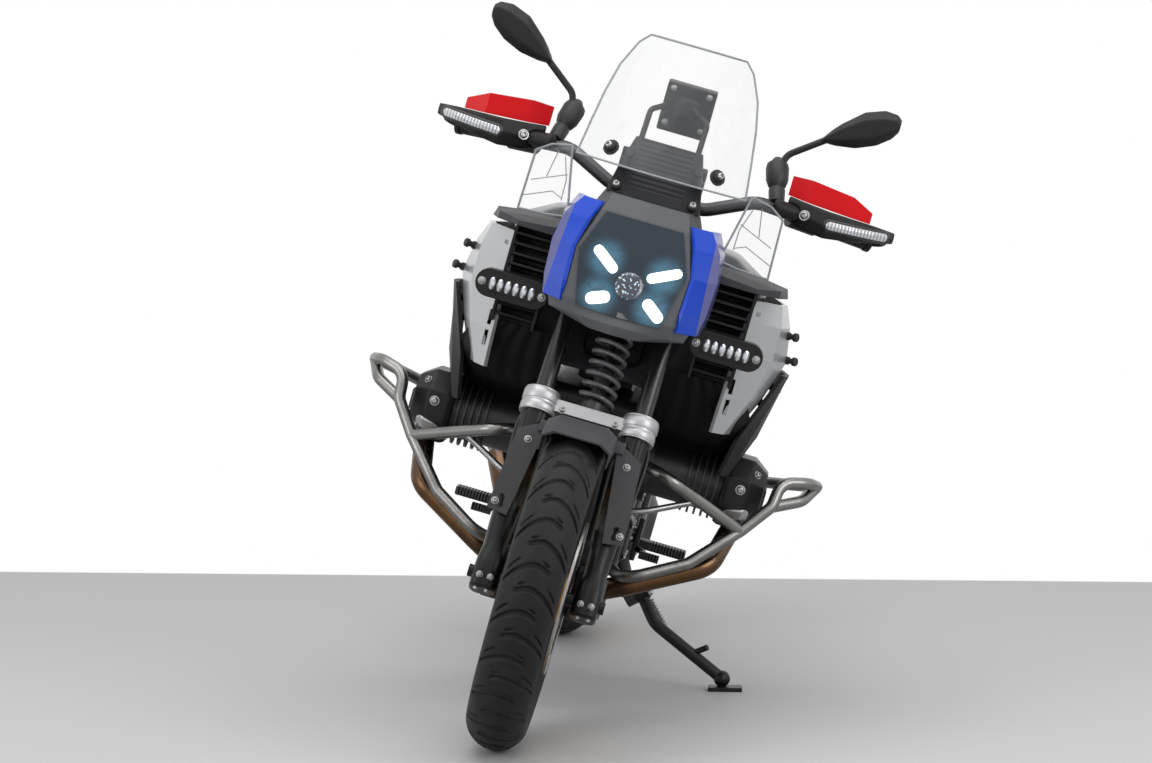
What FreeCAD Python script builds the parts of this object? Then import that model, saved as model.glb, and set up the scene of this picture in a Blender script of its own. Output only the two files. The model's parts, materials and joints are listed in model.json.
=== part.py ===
# Adventure motorcycle with a flat-twin engine, parked on its side stand.
# Upright frame while modelling: +X is the rider's left, -Y is ahead, +Z is up, origin on the ground
# midway between the axles. Each sub-part then gets the same leaning placement, and the origin moves
# to the middle of the bottom of the leaning motorcycle's box.
import FreeCAD, Part
import Sketcher
import math
import os
from FreeCAD import Placement, Rotation, Vector

doc = FreeCAD.newDocument("AdventureMotorcycle")
sheet = doc.addObject("Spreadsheet::Sheet", "Sizes")

SIZES = {
    # stance, and the clearances that every piece shares
    "wheelbase": 1534, "lean_angle": 16, "rake_angle": 26.2, "axle_lead": 36.9,
    "pin_play": 0.3, "moving_play": 6, "overrun": 20, "bite": 3,
    # front wheel
    "front_tyre_radius": 325, "front_crown_radius": 62, "front_tyre_width": 118,
    "front_bead_radius": 241, "front_rim_width": 76, "front_tyre_wall": 9,
    "front_hub_radius": 27, "front_hub_half": 58, "front_flange_radius": 45, "front_flange_at": 31,
    "front_axle_radius": 12.5, "axle_bore_radius": 8, "front_spoke_offset": 30,
    "hub_boss_radius": 50, "hub_boss_length": 6, "hub_boss_taper": 4,
    # rear wheel
    "rear_tyre_radius": 318, "rear_crown_radius": 90, "rear_tyre_width": 168,
    "rear_bead_radius": 215.5, "rear_rim_width": 114, "rear_tyre_wall": 10,
    "rear_hub_radius": 46, "rear_hub_left": 66, "rear_hub_right": 64, "rear_flange_radius": 66,
    "rear_flange_at": 42, "rear_axle_radius": 25, "rear_bore_radius": 15, "rear_spoke_offset": 45,
    # both rims
    "rim_flange_height": 13, "rim_wall": 5, "rim_well_depth": 17, "bead_width": 17,
    "spoke_radius": 2.4, "flange_wall": 7, "spoke_inset": 6,
    # brake discs and calipers
    "front_disc_radius": 155, "front_disc_inner": 117, "disc_wall": 5, "disc_lip": 4,
    "carrier_radius": 58, "rear_disc_radius": 138, "rear_disc_inner": 104, "disc_play": 5,
    "caliper_length": 104, "caliper_depth": 84, "caliper_width": 60, "caliper_centre_x": 79,
    "caliper_centre_radius": 130, "caliper_turn_angle": 24, "caliper_edge": 3,
    "caliper_lug_width": 22, "caliper_lug_length": 78, "caliper_lug_height": 64,
    "caliper_lug_x": 92, "caliper_lug_radius": 60,
    # fork: tubes, sliders, lower bridge with its ball, upper bridge with its stem and risers
    "fork_half_track": 103, "fork_tube_radius": 18.5, "fork_tube_top": 800,
    "slider_radius": 30, "slider_foot_radius": 33, "slider_top": 352, "slider_bottom": -34,
    "axle_overhang": 3, "collar_radius": 36, "collar_length": 50,
    "lower_bridge_wall": 26, "lower_bridge_width": 44, "lower_bridge_setback": 6,
    "ball_boss_width": 70, "ball_boss_radius": 21, "ball_pin_radius": 11, "ball_pin_length": 34,
    "ball_gap": 7,
    "yoke_up": 752, "yoke_wall": 30, "yoke_reach": 27, "yoke_clamp_wall": 13,
    "stem_radius": 16, "stem_length": 62, "stem_boss_wall": 14,
    "riser_radius": 21, "riser_setback": 10, "riser_cap": 12,
    # handlebar and its controls
    "bar_radius": 14, "bar_centre_y": -330, "bar_centre_z": 1118, "bar_clamp_x": 52, "bar_rise_x": 200,
    "bar_rise_y": -318, "bar_rise_z": 1165, "bar_end_x": 440, "bar_end_y": -222, "bar_end_z": 1146,
    "bar_bend": 70, "bar_grip_offset": 92, "grip_radius": 18, "grip_length": 118,
    "grip_cap_wall": 2, "grip_cap_length": 10, "switch_length": 62, "switch_radius": 27,
    "master_length": 66, "master_radius": 17, "master_out": 16, "master_ahead": 30, "master_lift": 4,
    "control_arm_width": 26, "control_arm_length": 44, "control_arm_height": 22,
    "lever_radius": 7, "lever_bend": 40, "lever_root": 9, "lever_out": 22, "lever_drop": 6,
    "lever_tip_in": 30, "lever_ahead": 52,
    # hand guards, their deflectors and the mirrors
    "guard_start_x": 262, "guard_width": 232, "guard_front_y": -352, "guard_sweep": 80,
    "guard_low_z": 1131, "guard_height": 65, "guard_wall": 14, "guard_nose": 8,
    "guard_stay_radius": 9, "guard_stay_bend": 20, "guard_stay_out": 34, "guard_stay_rise": 6,
    "guard_post_x": 285, "guard_post_z": 1162, "guard_post_length": 44,
    "deflector_start_x": 258, "deflector_width": 178, "deflector_front_y": -346,
    "deflector_sweep": 32, "deflector_low_z": 1185.5, "deflector_height": 54.5, "deflector_wall": 5,
    "mirror_start_x": 296, "mirror_width": 147, "mirror_low_z": 1328, "mirror_rise": 68,
    "mirror_height": 78, "mirror_y": -236, "mirror_depth": 34, "mirror_stem_radius": 7.5,
    "mirror_stem_bend": 30, "mirror_ball_radius": 19, "mirror_ball_x": 222, "mirror_ball_y": -262,
    "mirror_ball_z": 1240, "mirror_root_x": 240, "mirror_root_y": -306, "mirror_root_z": 1172,
    "mirror_elbow_x": 234, "mirror_elbow_y": -252, "mirror_elbow_z": 1276,
    # side stand and its lug
    "stand_pivot_x": 189, "stand_pivot_y": -20, "stand_pivot_z": 276, "stand_tilt_angle": 43,
    "stand_leg_radius": 13, "stand_leg_bend": 60, "stand_foot_x": 428, "stand_foot_y": -56,
    "stand_eye_radius": 24, "stand_eye_wall": 30, "stand_pin_radius": 8, "stand_pin_end": 6,
    "stand_foot_length": 74, "stand_foot_width": 46, "stand_foot_wall": 9, "stand_foot_edge": 3,
    "stand_knee_in": 6, "stand_knee_ahead": 12, "stand_knee_drop": 22,
    "stand_ankle_in": 14, "stand_ankle_back": 4, "stand_ankle_rise": 22, "stand_ankle_wall": 5,
    "stand_spur_radius": 6.5, "stand_spur_out": 10, "stand_spur_ahead": 14, "stand_spur_rise": 34,
    "stand_lug_length": 22, "stand_arm_radius": 18, "stand_arm_in": 14, "stand_arm_up": 36,
    # engine
    "engine_front_y": -300, "engine_rear_y": 170, "engine_top_z": 690, "engine_bottom_z": 318,
    "engine_width": 260, "engine_edge": 26, "front_cover_width": 178, "front_cover_height": 300,
    "front_cover_wall": 14, "front_cover_bevel": 44, "front_boss_radius": 62, "front_boss_wall": 12,
    "clutch_cover_radius": 50, "clutch_cover_wall": 9, "clutch_cover_y": 72, "clutch_cover_z": 566,
    "cylinder_y": -180, "cylinder_z": 562, "cylinder_radius": 60, "cylinder_outer_x": 296,
    "base_flange_radius": 78, "base_flange_wall": 12, "fin_radius": 74, "fin_wall": 5, "fin_pitch": 15,
    "head_depth": 88, "head_length": 178, "head_height": 152, "head_ridge_width": 46,
    "head_ridge_height": 6, "head_edge": 4,
    # exhaust
    "header_radius": 22, "header_bend": 60, "header_join": 130, "collector_radius": 34,
    "collector_length": 250,
    "collector_drop": 2, "link_radius": 26, "header_half_width": 340, "header_front_y": -334,
    "header_reach": 134, "header_low_z": 278, "header_height": 209, "link_low_z": 330,
    "link_out": 150, "link_run": 240, "link_turn": 30, "link_start": 60,
    "muffler_x": -212, "muffler_front_y": 330, "muffler_length": 400, "muffler_width": 112,
    "muffler_height": 150, "muffler_front_z": 400, "muffler_rise": 96, "muffler_inlet": 32,
    "outlet_radius": 24, "outlet_length": 34, "outlet_wall": 3,
    # skid plate and crash bars
    "skid_width": 250, "skid_wall": 6, "skid_rear_y": 60, "skid_front_y": -330, "skid_nose": 78,
    "skid_nose_rise": 92, "skid_drop": 8, "skid_post_radius": 9, "skid_post_inset": 32,
    "skid_post_front_y": -230, "skid_post_rear_y": 30,
    "crash_radius": 12.5, "crash_bend": 42, "crash_half_width": 492, "crash_front_y": -418,
    "crash_length": 378, "crash_low_z": 343, "crash_height": 281,
    # main frame and rear subframe
    "frame_width": 116, "frame_front_y": -440, "frame_length": 740, "frame_low_z": 388,
    "frame_height": 574, "frame_window_y": -300, "frame_window_length": 340,
    "frame_window_z": 740, "frame_window_height": 140, "head_ring_radius": 34,
    "rail_radius": 12, "rail_x": 96, "rail_bend": 50, "rail_start_y": 150, "rail_length": 780,
    "rail_low_z": 792, "rail_rise": 88, "brace_start_y": 262, "brace_length": 378,
    "brace_low_z": 560, "brace_rise": 262, "hanger_radius": 8, "hanger_y": 560, "hanger_z": 760,
    "hanger_out": 50, "hanger_drop": 60, "hanger_foot_y": 545, "hanger_foot_z": 520,
    "web_y": 446, "web_low_z": 671, "web_height": 145,
    # tank and seats
    "tank_front_y": -392, "tank_length": 440, "tank_width": 560, "tank_top_z": 1062,
    "tank_height": 330, "fork_swing_radius": 152, "fork_swing_up": 480, "fork_swing_length": 700,
    "cap_radius": 44, "cap_height": 9, "cap_y": -196,
    "seat_width": 300, "seat_front_y": 52, "seat_base_z": 829, "rider_seat_length": 330,
    "rider_seat_height": 84, "pillion_seat_length": 300, "pillion_seat_height": 108, "seat_split": 4,
    # side panels, lower black panels and shroud tops
    "panel_wall": 9, "side_half_width": 352, "side_front_y": -462, "side_length": 482,
    "side_low_z": 690, "side_height": 285, "slot_width": 8, "slot_height": 32, "slot_x": 257,
    "slot_low_z": 748, "slot_step": 44, "vent_size": 8, "vent_x": 268, "vent_step": 16, "vent_z": 948,
    "wing_half_width": 366, "wing_front_y": -350, "wing_length": 220, "wing_low_z": 600,
    "wing_height": 232, "panel_boss_radius": 12, "panel_boss_x": 258, "panel_boss_length": 84,
    "panel_boss_y": -200, "panel_boss_z": 880, "wing_peg_radius": 9, "wing_peg_x": 326,
    "wing_peg_length": 33, "wing_peg_y": -225, "wing_peg_z": 800,
    "top_half_width": 318, "top_front_y": -486, "top_length": 156,
    "top_low_z": 990, "top_height": 36,
    # radiators and auxiliary lamps
    "radiator_x": 210, "radiator_width": 92, "radiator_y": -422, "radiator_depth": 40,
    "radiator_z": 888, "radiator_height": 200, "louvre_pitch": 21,
    "louvre_wall": 5, "louvre_depth": 26, "louvre_ahead": 32, "louvre_tilt_angle": 14,
    "louvre_frame_wall": 6, "aux_lamp_x": 226, "aux_lamp_z": 864, "aux_lamp_back_y": -471.5,
    "aux_lamp_width": 152, "aux_lamp_height": 58, "aux_lamp_depth": 44,
    # headlamp, its cover and the blue panels
    "lamp_half_width": 150, "lamp_front_y": -694, "lamp_depth": 199, "lamp_low_z": 843,
    "lamp_height": 267, "lens_wall": 4, "light_depth": 6, "glass_half_width": 111,
    "glass_low_z": 880, "glass_height": 192, "light_half_width": 72, "light_low_z": 900,
    "light_height": 96, "light_bar_half": 9, "projector_radius": 27, "projector_z": 944,
    "lamp_prism_y": -760, "lamp_prism_length": 300,
    "blue_half_width": 176, "blue_front_y": -650, "blue_length": 176, "blue_low_z": 880,
    "blue_height": 208,
    # windscreen, instruments and the holder over them
    "screen_half_width": 178, "screen_front_y": -560, "screen_sweep": 174, "screen_low_z": 1165,
    "screen_height": 271, "screen_wall": 4, "clear_side_x": 160, "clear_side_width": 106,
    "clear_side_low_z": 1022, "clear_side_height": 154, "clear_side_y": -560,
    "shroud_half_width": 98, "shroud_front_y": -530, "shroud_depth": 90, "shroud_low_z": 1110,
    "shroud_height": 120, "screen_mount_radius": 10, "screen_mount_y": -478,
    "upper_mount_x": 72, "upper_mount_z": 1196, "upper_mount_reach": 56,
    "lower_mount_x": 76, "lower_mount_z": 1174, "lower_mount_reach": 64,
    "hoop_radius": 6, "hoop_bend": 24, "hoop_x": 60, "hoop_foot_y": -458, "hoop_foot_z": 1226,
    "hoop_run": 92, "hoop_rise": 86, "holder_width": 104, "holder_wall": 30, "holder_x": 10,
    "holder_y": -352, "holder_z": 1308, "holder_tilt_angle": 12, "holder_edge": 4,
    "display_width": 178, "display_height": 96, "display_wall": 60, "display_y": -466,
    "display_z": 1152, "display_tilt_angle": 12, "display_edge": 3,
    # rack, tail and lamps
    "rack_front_y": 698, "rack_length": 330, "rack_width": 250, "rack_top_z": 975, "rack_wall": 10,
    "rack_hole_radius": 4.25, "rack_hole_circle": 120, "rack_slot_x": 80, "rack_slot_width": 24,
    "rack_slot_start": 40, "rack_slot_length": 60, "rack_leg_radius": 9, "rack_leg_front_y": 730,
    "rack_leg_rear_y": 900, "rack_leg_front_z": 846, "rack_leg_rear_z": 878,
    "handle_radius": 9, "handle_bend": 40, "handle_inner_x": 100, "handle_outer_x": 160,
    "handle_start": 20, "handle_length": 220, "handle_drop": 8,
    "tail_half_width": 81, "tail_length": 296, "tail_low_z": 852, "tail_height": 103, "tail_play": 3,
    "carrier_half_width": 70, "carrier_y": 900, "carrier_length": 240, "carrier_low_z": 640,
    "carrier_height": 262, "plate_width": 200, "plate_height": 160, "plate_wall": 8,
    "plate_y": 1122, "plate_z": 700, "plate_tilt_angle": 22, "stalk_radius": 8, "stalk_half": 126,
    "stalk_y": 1024, "stalk_z": 800, "indicator_length": 60, "indicator_size": 34,
    "indicator_edge": 8, "tail_lamp_width": 130, "tail_lamp_height": 30, "tail_lamp_wall": 16,
    "tail_lamp_y": 991, "tail_lamp_z": 922, "tail_lamp_edge": 3,
    # swingarm, front arm and struts
    "drive_radius": 104, "drive_inner_x": 82, "drive_width": 74, "drive_cover_depth": 16,
    "arm_inner_x": 97, "arm_width": 54, "arm_height": 92, "arm_front_y": 320,
    "arm_front_z": 430, "arm_length": 420, "arm_drop": 105, "arm_bridge_depth": 76,
    "arm_bridge_height": 78, "arm_bridge_y": 350, "arm_bridge_edge": 8, "pivot_y": 236,
    "pivot_z": 430, "pivot_radius": 24, "pivot_end": 20, "pivot_ear_radius": 42,
    "pivot_ear_width": 38, "pivot_link_length": 100, "pivot_link_height": 66, "axle_end": 10,
    "axle_nut_wall": 8, "rear_caliper_width": 46, "rear_caliper_length": 64,
    "rear_caliper_height": 80, "rear_caliper_x": 76, "rear_caliper_ahead": 118,
    "rear_caliper_up": 34, "rear_caliper_edge": 4,
    "ball_eye_radius": 25, "ball_eye_length": 22, "limb_radius": 13, "limb_bend": 50,
    "limb_start_x": 14, "limb_start_back": 12, "limb_mid_x": 40, "limb_mid_back": 76,
    "limb_end_x": 112, "limb_end_z": 640, "limb_bite": 12, "arm_cross_width": 80,
    "arm_cross_length": 30, "arm_cross_wall": 20, "arm_cross_back": 84, "strut_foot_back": 80,
    "strut_radius": 20, "strut_top_y": -410, "strut_top_z": 858, "coil_radius": 34,
    "coil_wire": 6, "strut_cup_wall": 4, "strut_cup_length": 8, "rear_strut_foot_y": 372,
    "rear_strut_foot_z": 462, "rear_strut_top_y": 300, "rear_strut_top_z": 808,
    # footrests and pedals
    "peg_y": 60, "peg_z": 365, "peg_length": 108, "peg_width": 44, "peg_wall": 20, "peg_edge": 4,
    "rest_stand_off": 16, "rest_boss_radius": 13, "rest_plate_wall": 12, "rest_plate_length": 110,
    "rest_plate_height": 96, "rest_plate_edge": 3, "pedal_radius": 7, "pedal_bend": 24,
    "pedal_out": 34, "pedal_ahead": 160, "pedal_drop": 8, "toe_radius": 9, "toe_length": 44,
    "rear_peg_length": 92, "rear_peg_width": 34, "rear_peg_wall": 16, "rear_peg_y": 352,
    "rear_peg_z": 604, "rear_peg_root_radius": 12, "rear_peg_root": 14,
    # front fender
    "fender_play": 15, "fender_wall": 3.5, "fender_half_width": 66, "fender_flank": 44,
    "fender_shoulder": 22, "fender_shoulder_drop": 14, "fender_rear_angle": 14,
    "fender_sweep_angle": 96, "fender_plate_wall": 3, "fender_plate_play": 0.4,
    "fender_plate_low": 118, "fender_plate_top": 332, "fender_plate_in": 98, "fender_plate_out": 140,
    "fender_plate_top_in": 72, "fender_plate_top_out": 128, "fender_plate_top_drop": 32,
    "fender_slot_radius": 7, "fender_slot_length": 16, "fender_slot_up": 136, "fender_slot_x": 118,
    "fender_link_width": 30, "fender_link_length": 40, "fender_link_height": 26,
    "fender_link_x": 74, "fender_link_up": 318, "fender_link_edge": 3,
}

for row, (alias, value) in enumerate(SIZES.items(), start=1):
    sheet.set(f"A{row}", alias)
    sheet.set(f"B{row}", str(value))
    sheet.setAlias(f"B{row}", alias)
doc.recompute()


class Size(float):
    """A value that remembers the sheet expression that gives it."""

    def __new__(cls, value, text):
        made = super().__new__(cls, value)
        made.text = text
        return made

    def joined(self, other, sign, value):
        return Size(value, f"({text_of(self)} {sign} {text_of(other)})")

    def __add__(self, other):
        return self.joined(other, "+", float(self) + float(other))

    def __sub__(self, other):
        return self.joined(other, "-", float(self) - float(other))

    def __mul__(self, other):
        return self.joined(other, "*", float(self) * float(other))

    def __truediv__(self, other):
        return self.joined(other, "/", float(self) / float(other))

    def __neg__(self):
        return Size(-float(self), f"(0 - {self.text})")

    def __rmul__(self, other):
        return Size(float(other) * float(self), f"({text_of(other)} * {self.text})")


def text_of(value):
    return value.text if isinstance(value, Size) else repr(float(value))


class SheetSizes:
    """Driving dimensions by their alias."""

    def __getattr__(self, alias):
        return Size(getattr(sheet, alias), f"Sizes.{alias}")


size = SheetSizes()

# Directions, and the steering frame: back is square to the steering axis and up runs along it.
ACROSS = Vector(1, 0, 0)
AHEAD = Vector(0, -1, 0)
REAR = Vector(0, 1, 0)
UP = Vector(0, 0, 1)
rake = math.radians(size.rake_angle)
lean = math.radians(size.lean_angle)
fork_up = Vector(0, math.sin(rake), math.cos(rake))
fork_back = Vector(0, math.cos(rake), -math.sin(rake))
fork_turn = Rotation(ACROSS, -float(size.rake_angle))
steer_limit_angle = 36
stand_limit_angle = 90


def axle_height(tyre_radius, crown_radius):
    """Height of an axle whose leaning tyre touches the ground on its crown."""
    return tyre_radius - crown_radius + crown_radius / math.cos(lean)


front_axle = Vector(0, -size.wheelbase / 2, axle_height(size.front_tyre_radius, size.front_crown_radius))
rear_axle = Vector(0, size.wheelbase / 2, axle_height(size.rear_tyre_radius, size.rear_crown_radius))
steer_base = front_axle + fork_back * size.axle_lead


def on_fork(across, back, up):
    """A point given from the steering axis: sideways, square behind it and along it."""
    return steer_base + ACROSS * across + fork_back * back + fork_up * up


# Making shapes: objects bound to the sheet, and places given as shares of a piece's own spans.
def bind(obj, **values):
    """Set sizes of an object, and bind those that come from the sheet."""
    for name, value in values.items():
        setattr(obj, name, float(value))
        if isinstance(value, Size):
            obj.setExpression(name, value.text)
    return obj


def spread(shares, low, span):
    """Points in a box, from its low corner and the shares of its three spans."""
    return [Vector(*(start + reach * share for start, reach, share in zip(low, span, row)))
            for row in shares]


def spread_flat(shares, low, span):
    """Corners of a flat outline, from its low corner and the shares of its two spans."""
    return [tuple(start + reach * share for start, reach, share in zip(low, span, row))
            for row in shares]


def facing(direction):
    return Rotation(UP, direction)


def cylinder(name, radius, length, start, direction):
    obj = bind(doc.addObject("Part::Cylinder", name), Radius=radius, Height=length)
    obj.Placement = Placement(start, facing(direction))
    return obj


def cone(name, radius, end_radius, length, start, direction):
    obj = bind(doc.addObject("Part::Cone", name), Radius1=radius, Radius2=end_radius, Height=length)
    obj.Placement = Placement(start, facing(direction))
    return obj


def sphere(name, radius, centre):
    obj = bind(doc.addObject("Part::Sphere", name), Radius=radius)
    obj.Placement = Placement(centre, Rotation())
    return obj


def block(name, across, along, height, centre, turn=Rotation(), edge=0):
    """A box about its centre, with its edges rounded where an edge radius is given."""
    obj = bind(doc.addObject("Part::Box", name), Length=across, Width=along, Height=height)
    half = Vector(across / 2, along / 2, height / 2)
    obj.Placement = Placement(centre - turn.multVec(half), turn)
    if not edge:
        return obj
    doc.recompute()
    rounded = doc.addObject("Part::Fillet", name + "_rounded")
    rounded.Base = obj
    rounded.Edges = [(n + 1, float(edge), float(edge)) for n in range(len(obj.Shape.Edges))]
    return rounded


def rounded_path(points, radius):
    """Straight runs joined by tangent arcs, each as large as its runs allow up to the radius."""
    edges = []
    start = points[0]
    for n in range(1, len(points) - 1):
        before = points[n - 1] - points[n]
        after = points[n + 1] - points[n]
        turn = math.pi - before.getAngle(after)
        reach = min(radius * math.tan(turn / 2), 0.45 * min(before.Length, after.Length))
        before.normalize()
        after.normalize()
        first = points[n] + before * reach
        last = points[n] + after * reach
        middle = before + after
        middle.normalize()
        bend = reach / math.tan(turn / 2)
        centre = points[n] + middle * (bend / math.cos(turn / 2))
        edges.append(Part.makeLine(start, first))
        edges.append(Part.Arc(first, centre - middle * bend, last).toShape())
        start = last
    edges.append(Part.makeLine(start, points[-1]))
    return Part.Wire(edges)


def tube(name, points, radius, bend):
    """A round bar swept along straight runs and tangent arcs."""
    path = doc.addObject("Part::Feature", name + "_path")
    path.Shape = rounded_path(points, float(bend))
    ring = bind(doc.addObject("Part::Circle", name + "_section"), Radius=radius)
    ring.Placement = Placement(points[0], facing(points[1] - points[0]))
    obj = doc.addObject("Part::Sweep", name)
    obj.Sections = [ring]
    obj.Spine = (path, [f"Edge{n + 1}" for n in range(len(path.Shape.Edges))])
    obj.Solid = True
    obj.Transition = "Right corner"
    return obj


def loft(name, sections):
    """A solid through closed polygons that have the same number of corners."""
    wires = []
    for n, corners in enumerate(sections):
        wire = doc.addObject("Part::Feature", f"{name}_section{n}")
        wire.Shape = Part.makePolygon(list(corners) + [corners[0]])
        wires.append(wire)
    obj = doc.addObject("Part::Loft", name)
    obj.Sections = wires
    obj.Solid = True
    obj.Ruled = True
    return obj


def slab(name, corners, push):
    """A flat piece: a closed outline pushed through its thickness."""
    wire = doc.addObject("Part::Feature", name + "_outline")
    wire.Shape = Part.makePolygon(list(corners) + [corners[0]])
    obj = doc.addObject("Part::Extrusion", name)
    obj.Base = wire
    obj.Dir = push
    obj.LengthFwd = push.Length
    obj.Solid = True
    return obj


def band(name, low, span, levels, wall):
    """A standing panel: at each height an outer line of shares, given a wall inwards."""
    sections = []
    for height_share, line_shares in levels:
        outer = spread([(u, v, height_share) for u, v in line_shares], low, span)
        inner = []
        for n, point in enumerate(outer):
            ahead = outer[min(n + 1, len(outer) - 1)] - outer[max(n - 1, 0)]
            inward = Vector(-ahead.y, ahead.x, 0)
            inward.normalize()
            inner.append(point + inward * float(wall))
        sections.append(outer + inner[::-1])
    return loft(name, sections)


def fuse(name, parts):
    if len(parts) == 1:
        return parts[0]
    obj = doc.addObject("Part::MultiFuse", name)
    obj.Shapes = parts
    obj.Refine = False
    return obj


def cut(name, base, tools):
    obj = doc.addObject("Part::Cut", name)
    obj.Base = base
    obj.Tool = fuse(name + "_tools", tools)
    obj.Refine = False
    return obj


def common(name, parts):
    obj = doc.addObject("Part::MultiCommon", name)
    obj.Shapes = parts
    return obj


def moved_copy(name, source, move):
    """A copy of a finished shape, moved, to cut or trim others with."""
    doc.recompute()
    obj = doc.addObject("Part::Feature", name)
    obj.Shape = source.Shape.translated(move)
    return obj


def mirrored(source):
    obj = doc.addObject("Part::Mirroring", source.Name + "_right")
    obj.Source = source
    obj.Normal = (1, 0, 0)
    return obj


def both_sides(source):
    return [source, mirrored(source)]


def sketch_on(body, role, name):
    sketch = body.newObject("Sketcher::SketchObject", name)
    plane = next(face for face in body.Origin.OriginFeatures if face.Role == role)
    sketch.AttachmentSupport = [(plane, "")]
    sketch.MapMode = "FlatFace"
    return sketch


def pin_down(sketch, index, end, place):
    """Fix one end of a line by its two distances from the origin, bound where they are sizes."""
    for axis, value in zip(("DistanceX", "DistanceY"), place):
        constraint = sketch.addConstraint(Sketcher.Constraint(axis, -1, 1, index, end, float(value)))
        if isinstance(value, Size):
            name = f"{axis}{index}_{end}"
            sketch.renameConstraint(constraint, name)
            sketch.setExpression(f"Constraints.{name}", value.text)


def outline(sketch, corners):
    """A closed outline of straight lines, every corner fixed by sizes."""
    first = sketch.GeometryCount
    count = len(corners)
    for n, corner in enumerate(corners):
        following = corners[(n + 1) % count]
        sketch.addGeometry(Part.LineSegment(Vector(*corner, 0), Vector(*following, 0)))
    for n in range(count):
        sketch.addConstraint(Sketcher.Constraint("Coincident", first + n, 2, first + (n + 1) % count, 1))
        pin_down(sketch, first + n, 1, corners[n])


def circle(sketch, centre, radius):
    index = sketch.addGeometry(Part.Circle(Vector(*centre, 0), UP, float(radius)))
    constraint = sketch.addConstraint(Sketcher.Constraint("Radius", index, float(radius)))
    if isinstance(radius, Size):
        sketch.renameConstraint(constraint, f"radius{index}")
        sketch.setExpression(f"Constraints.radius{index}", radius.text)
    pin_down(sketch, index, 3, centre)


def revolved(body, sketch, name):
    feature = body.newObject("PartDesign::Revolution", name)
    feature.Profile = sketch
    feature.ReferenceAxis = (sketch, ["H_Axis"])
    feature.Angle = 360
    return feature


def turned(name, corners, centre):
    """A solid of revolution about a sideways axis: corners are (along the axis, from the axis)."""
    body = doc.addObject("PartDesign::Body", name)
    sketch = sketch_on(body, "XY_Plane", name + "_profile")
    outline(sketch, corners)
    revolved(body, sketch, name + "_turn")
    body.Placement = Placement(centre, Rotation())
    return body


def padded(name, role, loops, holes, depth, place):
    """A plate: loops of corners and round holes in one sketch, padded both ways from its plane."""
    body = doc.addObject("PartDesign::Body", name)
    sketch = sketch_on(body, role, name + "_outline")
    for corners in loops:
        outline(sketch, corners)
    for centre, radius in holes:
        circle(sketch, centre, radius)
    pad = body.newObject("PartDesign::Pad", name + "_pad")
    pad.Profile = sketch
    pad.SideType = "Symmetric"
    bind(pad, Length=depth)
    body.Placement = place
    return body


NODES = {}


def sub_part(node, solids):
    """One named sub-part: its solids share the node and lean together."""
    obj = doc.addObject("Part::Compound", node)
    obj.Label = node
    obj.Links = solids
    NODES[node] = obj
    return obj


# Wheels: a turned tyre and rim, a hub, and spokes that cross in pairs.
spoke_count = 16
spoke_sweep_angle = math.radians(24)
disc_arm_count = 6
disc_window_share = 0.62


def tyre(name, centre, radius, crown, width, bead, rim_width, wall):
    """A tyre with a round crown, open towards its rim."""
    half = width / 2
    rim_half = rim_width / 2
    shoulder = radius - crown + math.sqrt(crown ** 2 - half ** 2)
    inner_half = half - wall
    inner_shoulder = radius - crown + math.sqrt((crown - wall) ** 2 - inner_half ** 2)
    lip = bead + size.rim_flange_height + size.rim_wall
    bead_in = rim_half - size.bead_width
    corners = [(-rim_half, bead), (-rim_half, lip), (-half, shoulder), (half, shoulder), (rim_half, lip),
               (rim_half, bead), (bead_in, bead), (inner_half, inner_shoulder),
               (-inner_half, inner_shoulder), (-bead_in, bead)]
    crowns = {2: radius, 7: radius - wall}
    body = doc.addObject("PartDesign::Body", name)
    sketch = sketch_on(body, "XY_Plane", name + "_profile")
    for n, corner in enumerate(corners):
        start = Vector(*corner, 0)
        end = Vector(*corners[(n + 1) % len(corners)], 0)
        if n in crowns:
            sketch.addGeometry(Part.Arc(start, Vector(0, crowns[n], 0), end))
        else:
            sketch.addGeometry(Part.LineSegment(start, end))
    revolved(body, sketch, name + "_turn")
    body.Placement = Placement(centre, Rotation())
    return body


def rim(name, centre, bead, width):
    """A well-base rim with bead seats and upright flanges."""
    half = width / 2
    wall = size.rim_wall
    bead_in = half - size.bead_width
    well = bead - size.rim_well_depth
    outer = half + wall
    well_half = bead_in - size.rim_well_depth
    top = bead + size.rim_flange_height
    corners = [(-outer, top), (-half, top), (-half, bead), (-bead_in, bead), (-well_half, well),
               (well_half, well), (bead_in, bead), (half, bead), (half, top), (outer, top),
               (outer, bead - wall), (bead_in + wall, bead - wall), (well_half + wall / 2, well - wall),
               (-well_half - wall / 2, well - wall), (-bead_in - wall, bead - wall), (-outer, bead - wall)]
    return turned(name, corners, centre)


def spokes(name, centre, hub_x, hub_radius, rim_x, rim_radius):
    """Straight spokes on both sides, alternate ones leaning forwards and backwards."""
    made = []
    for side in (-1, 1):
        for n in range(spoke_count):
            angle = 2 * math.pi * n / spoke_count
            lead = angle + (spoke_sweep_angle if n % 2 else -spoke_sweep_angle)
            start = Vector(side * hub_x, hub_radius * math.cos(angle), hub_radius * math.sin(angle))
            end = Vector(side * rim_x, rim_radius * math.cos(lead), rim_radius * math.sin(lead))
            bar = doc.addObject("Part::Prism", f"{name}_{n}_{'left' if side > 0 else 'right'}")
            bar.Polygon = 6
            bind(bar, Circumradius=size.spoke_radius)
            bar.Height = (end - start).Length
            bar.Placement = Placement(centre + start, facing(end - start))
            made.append(bar)
    return made


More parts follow.
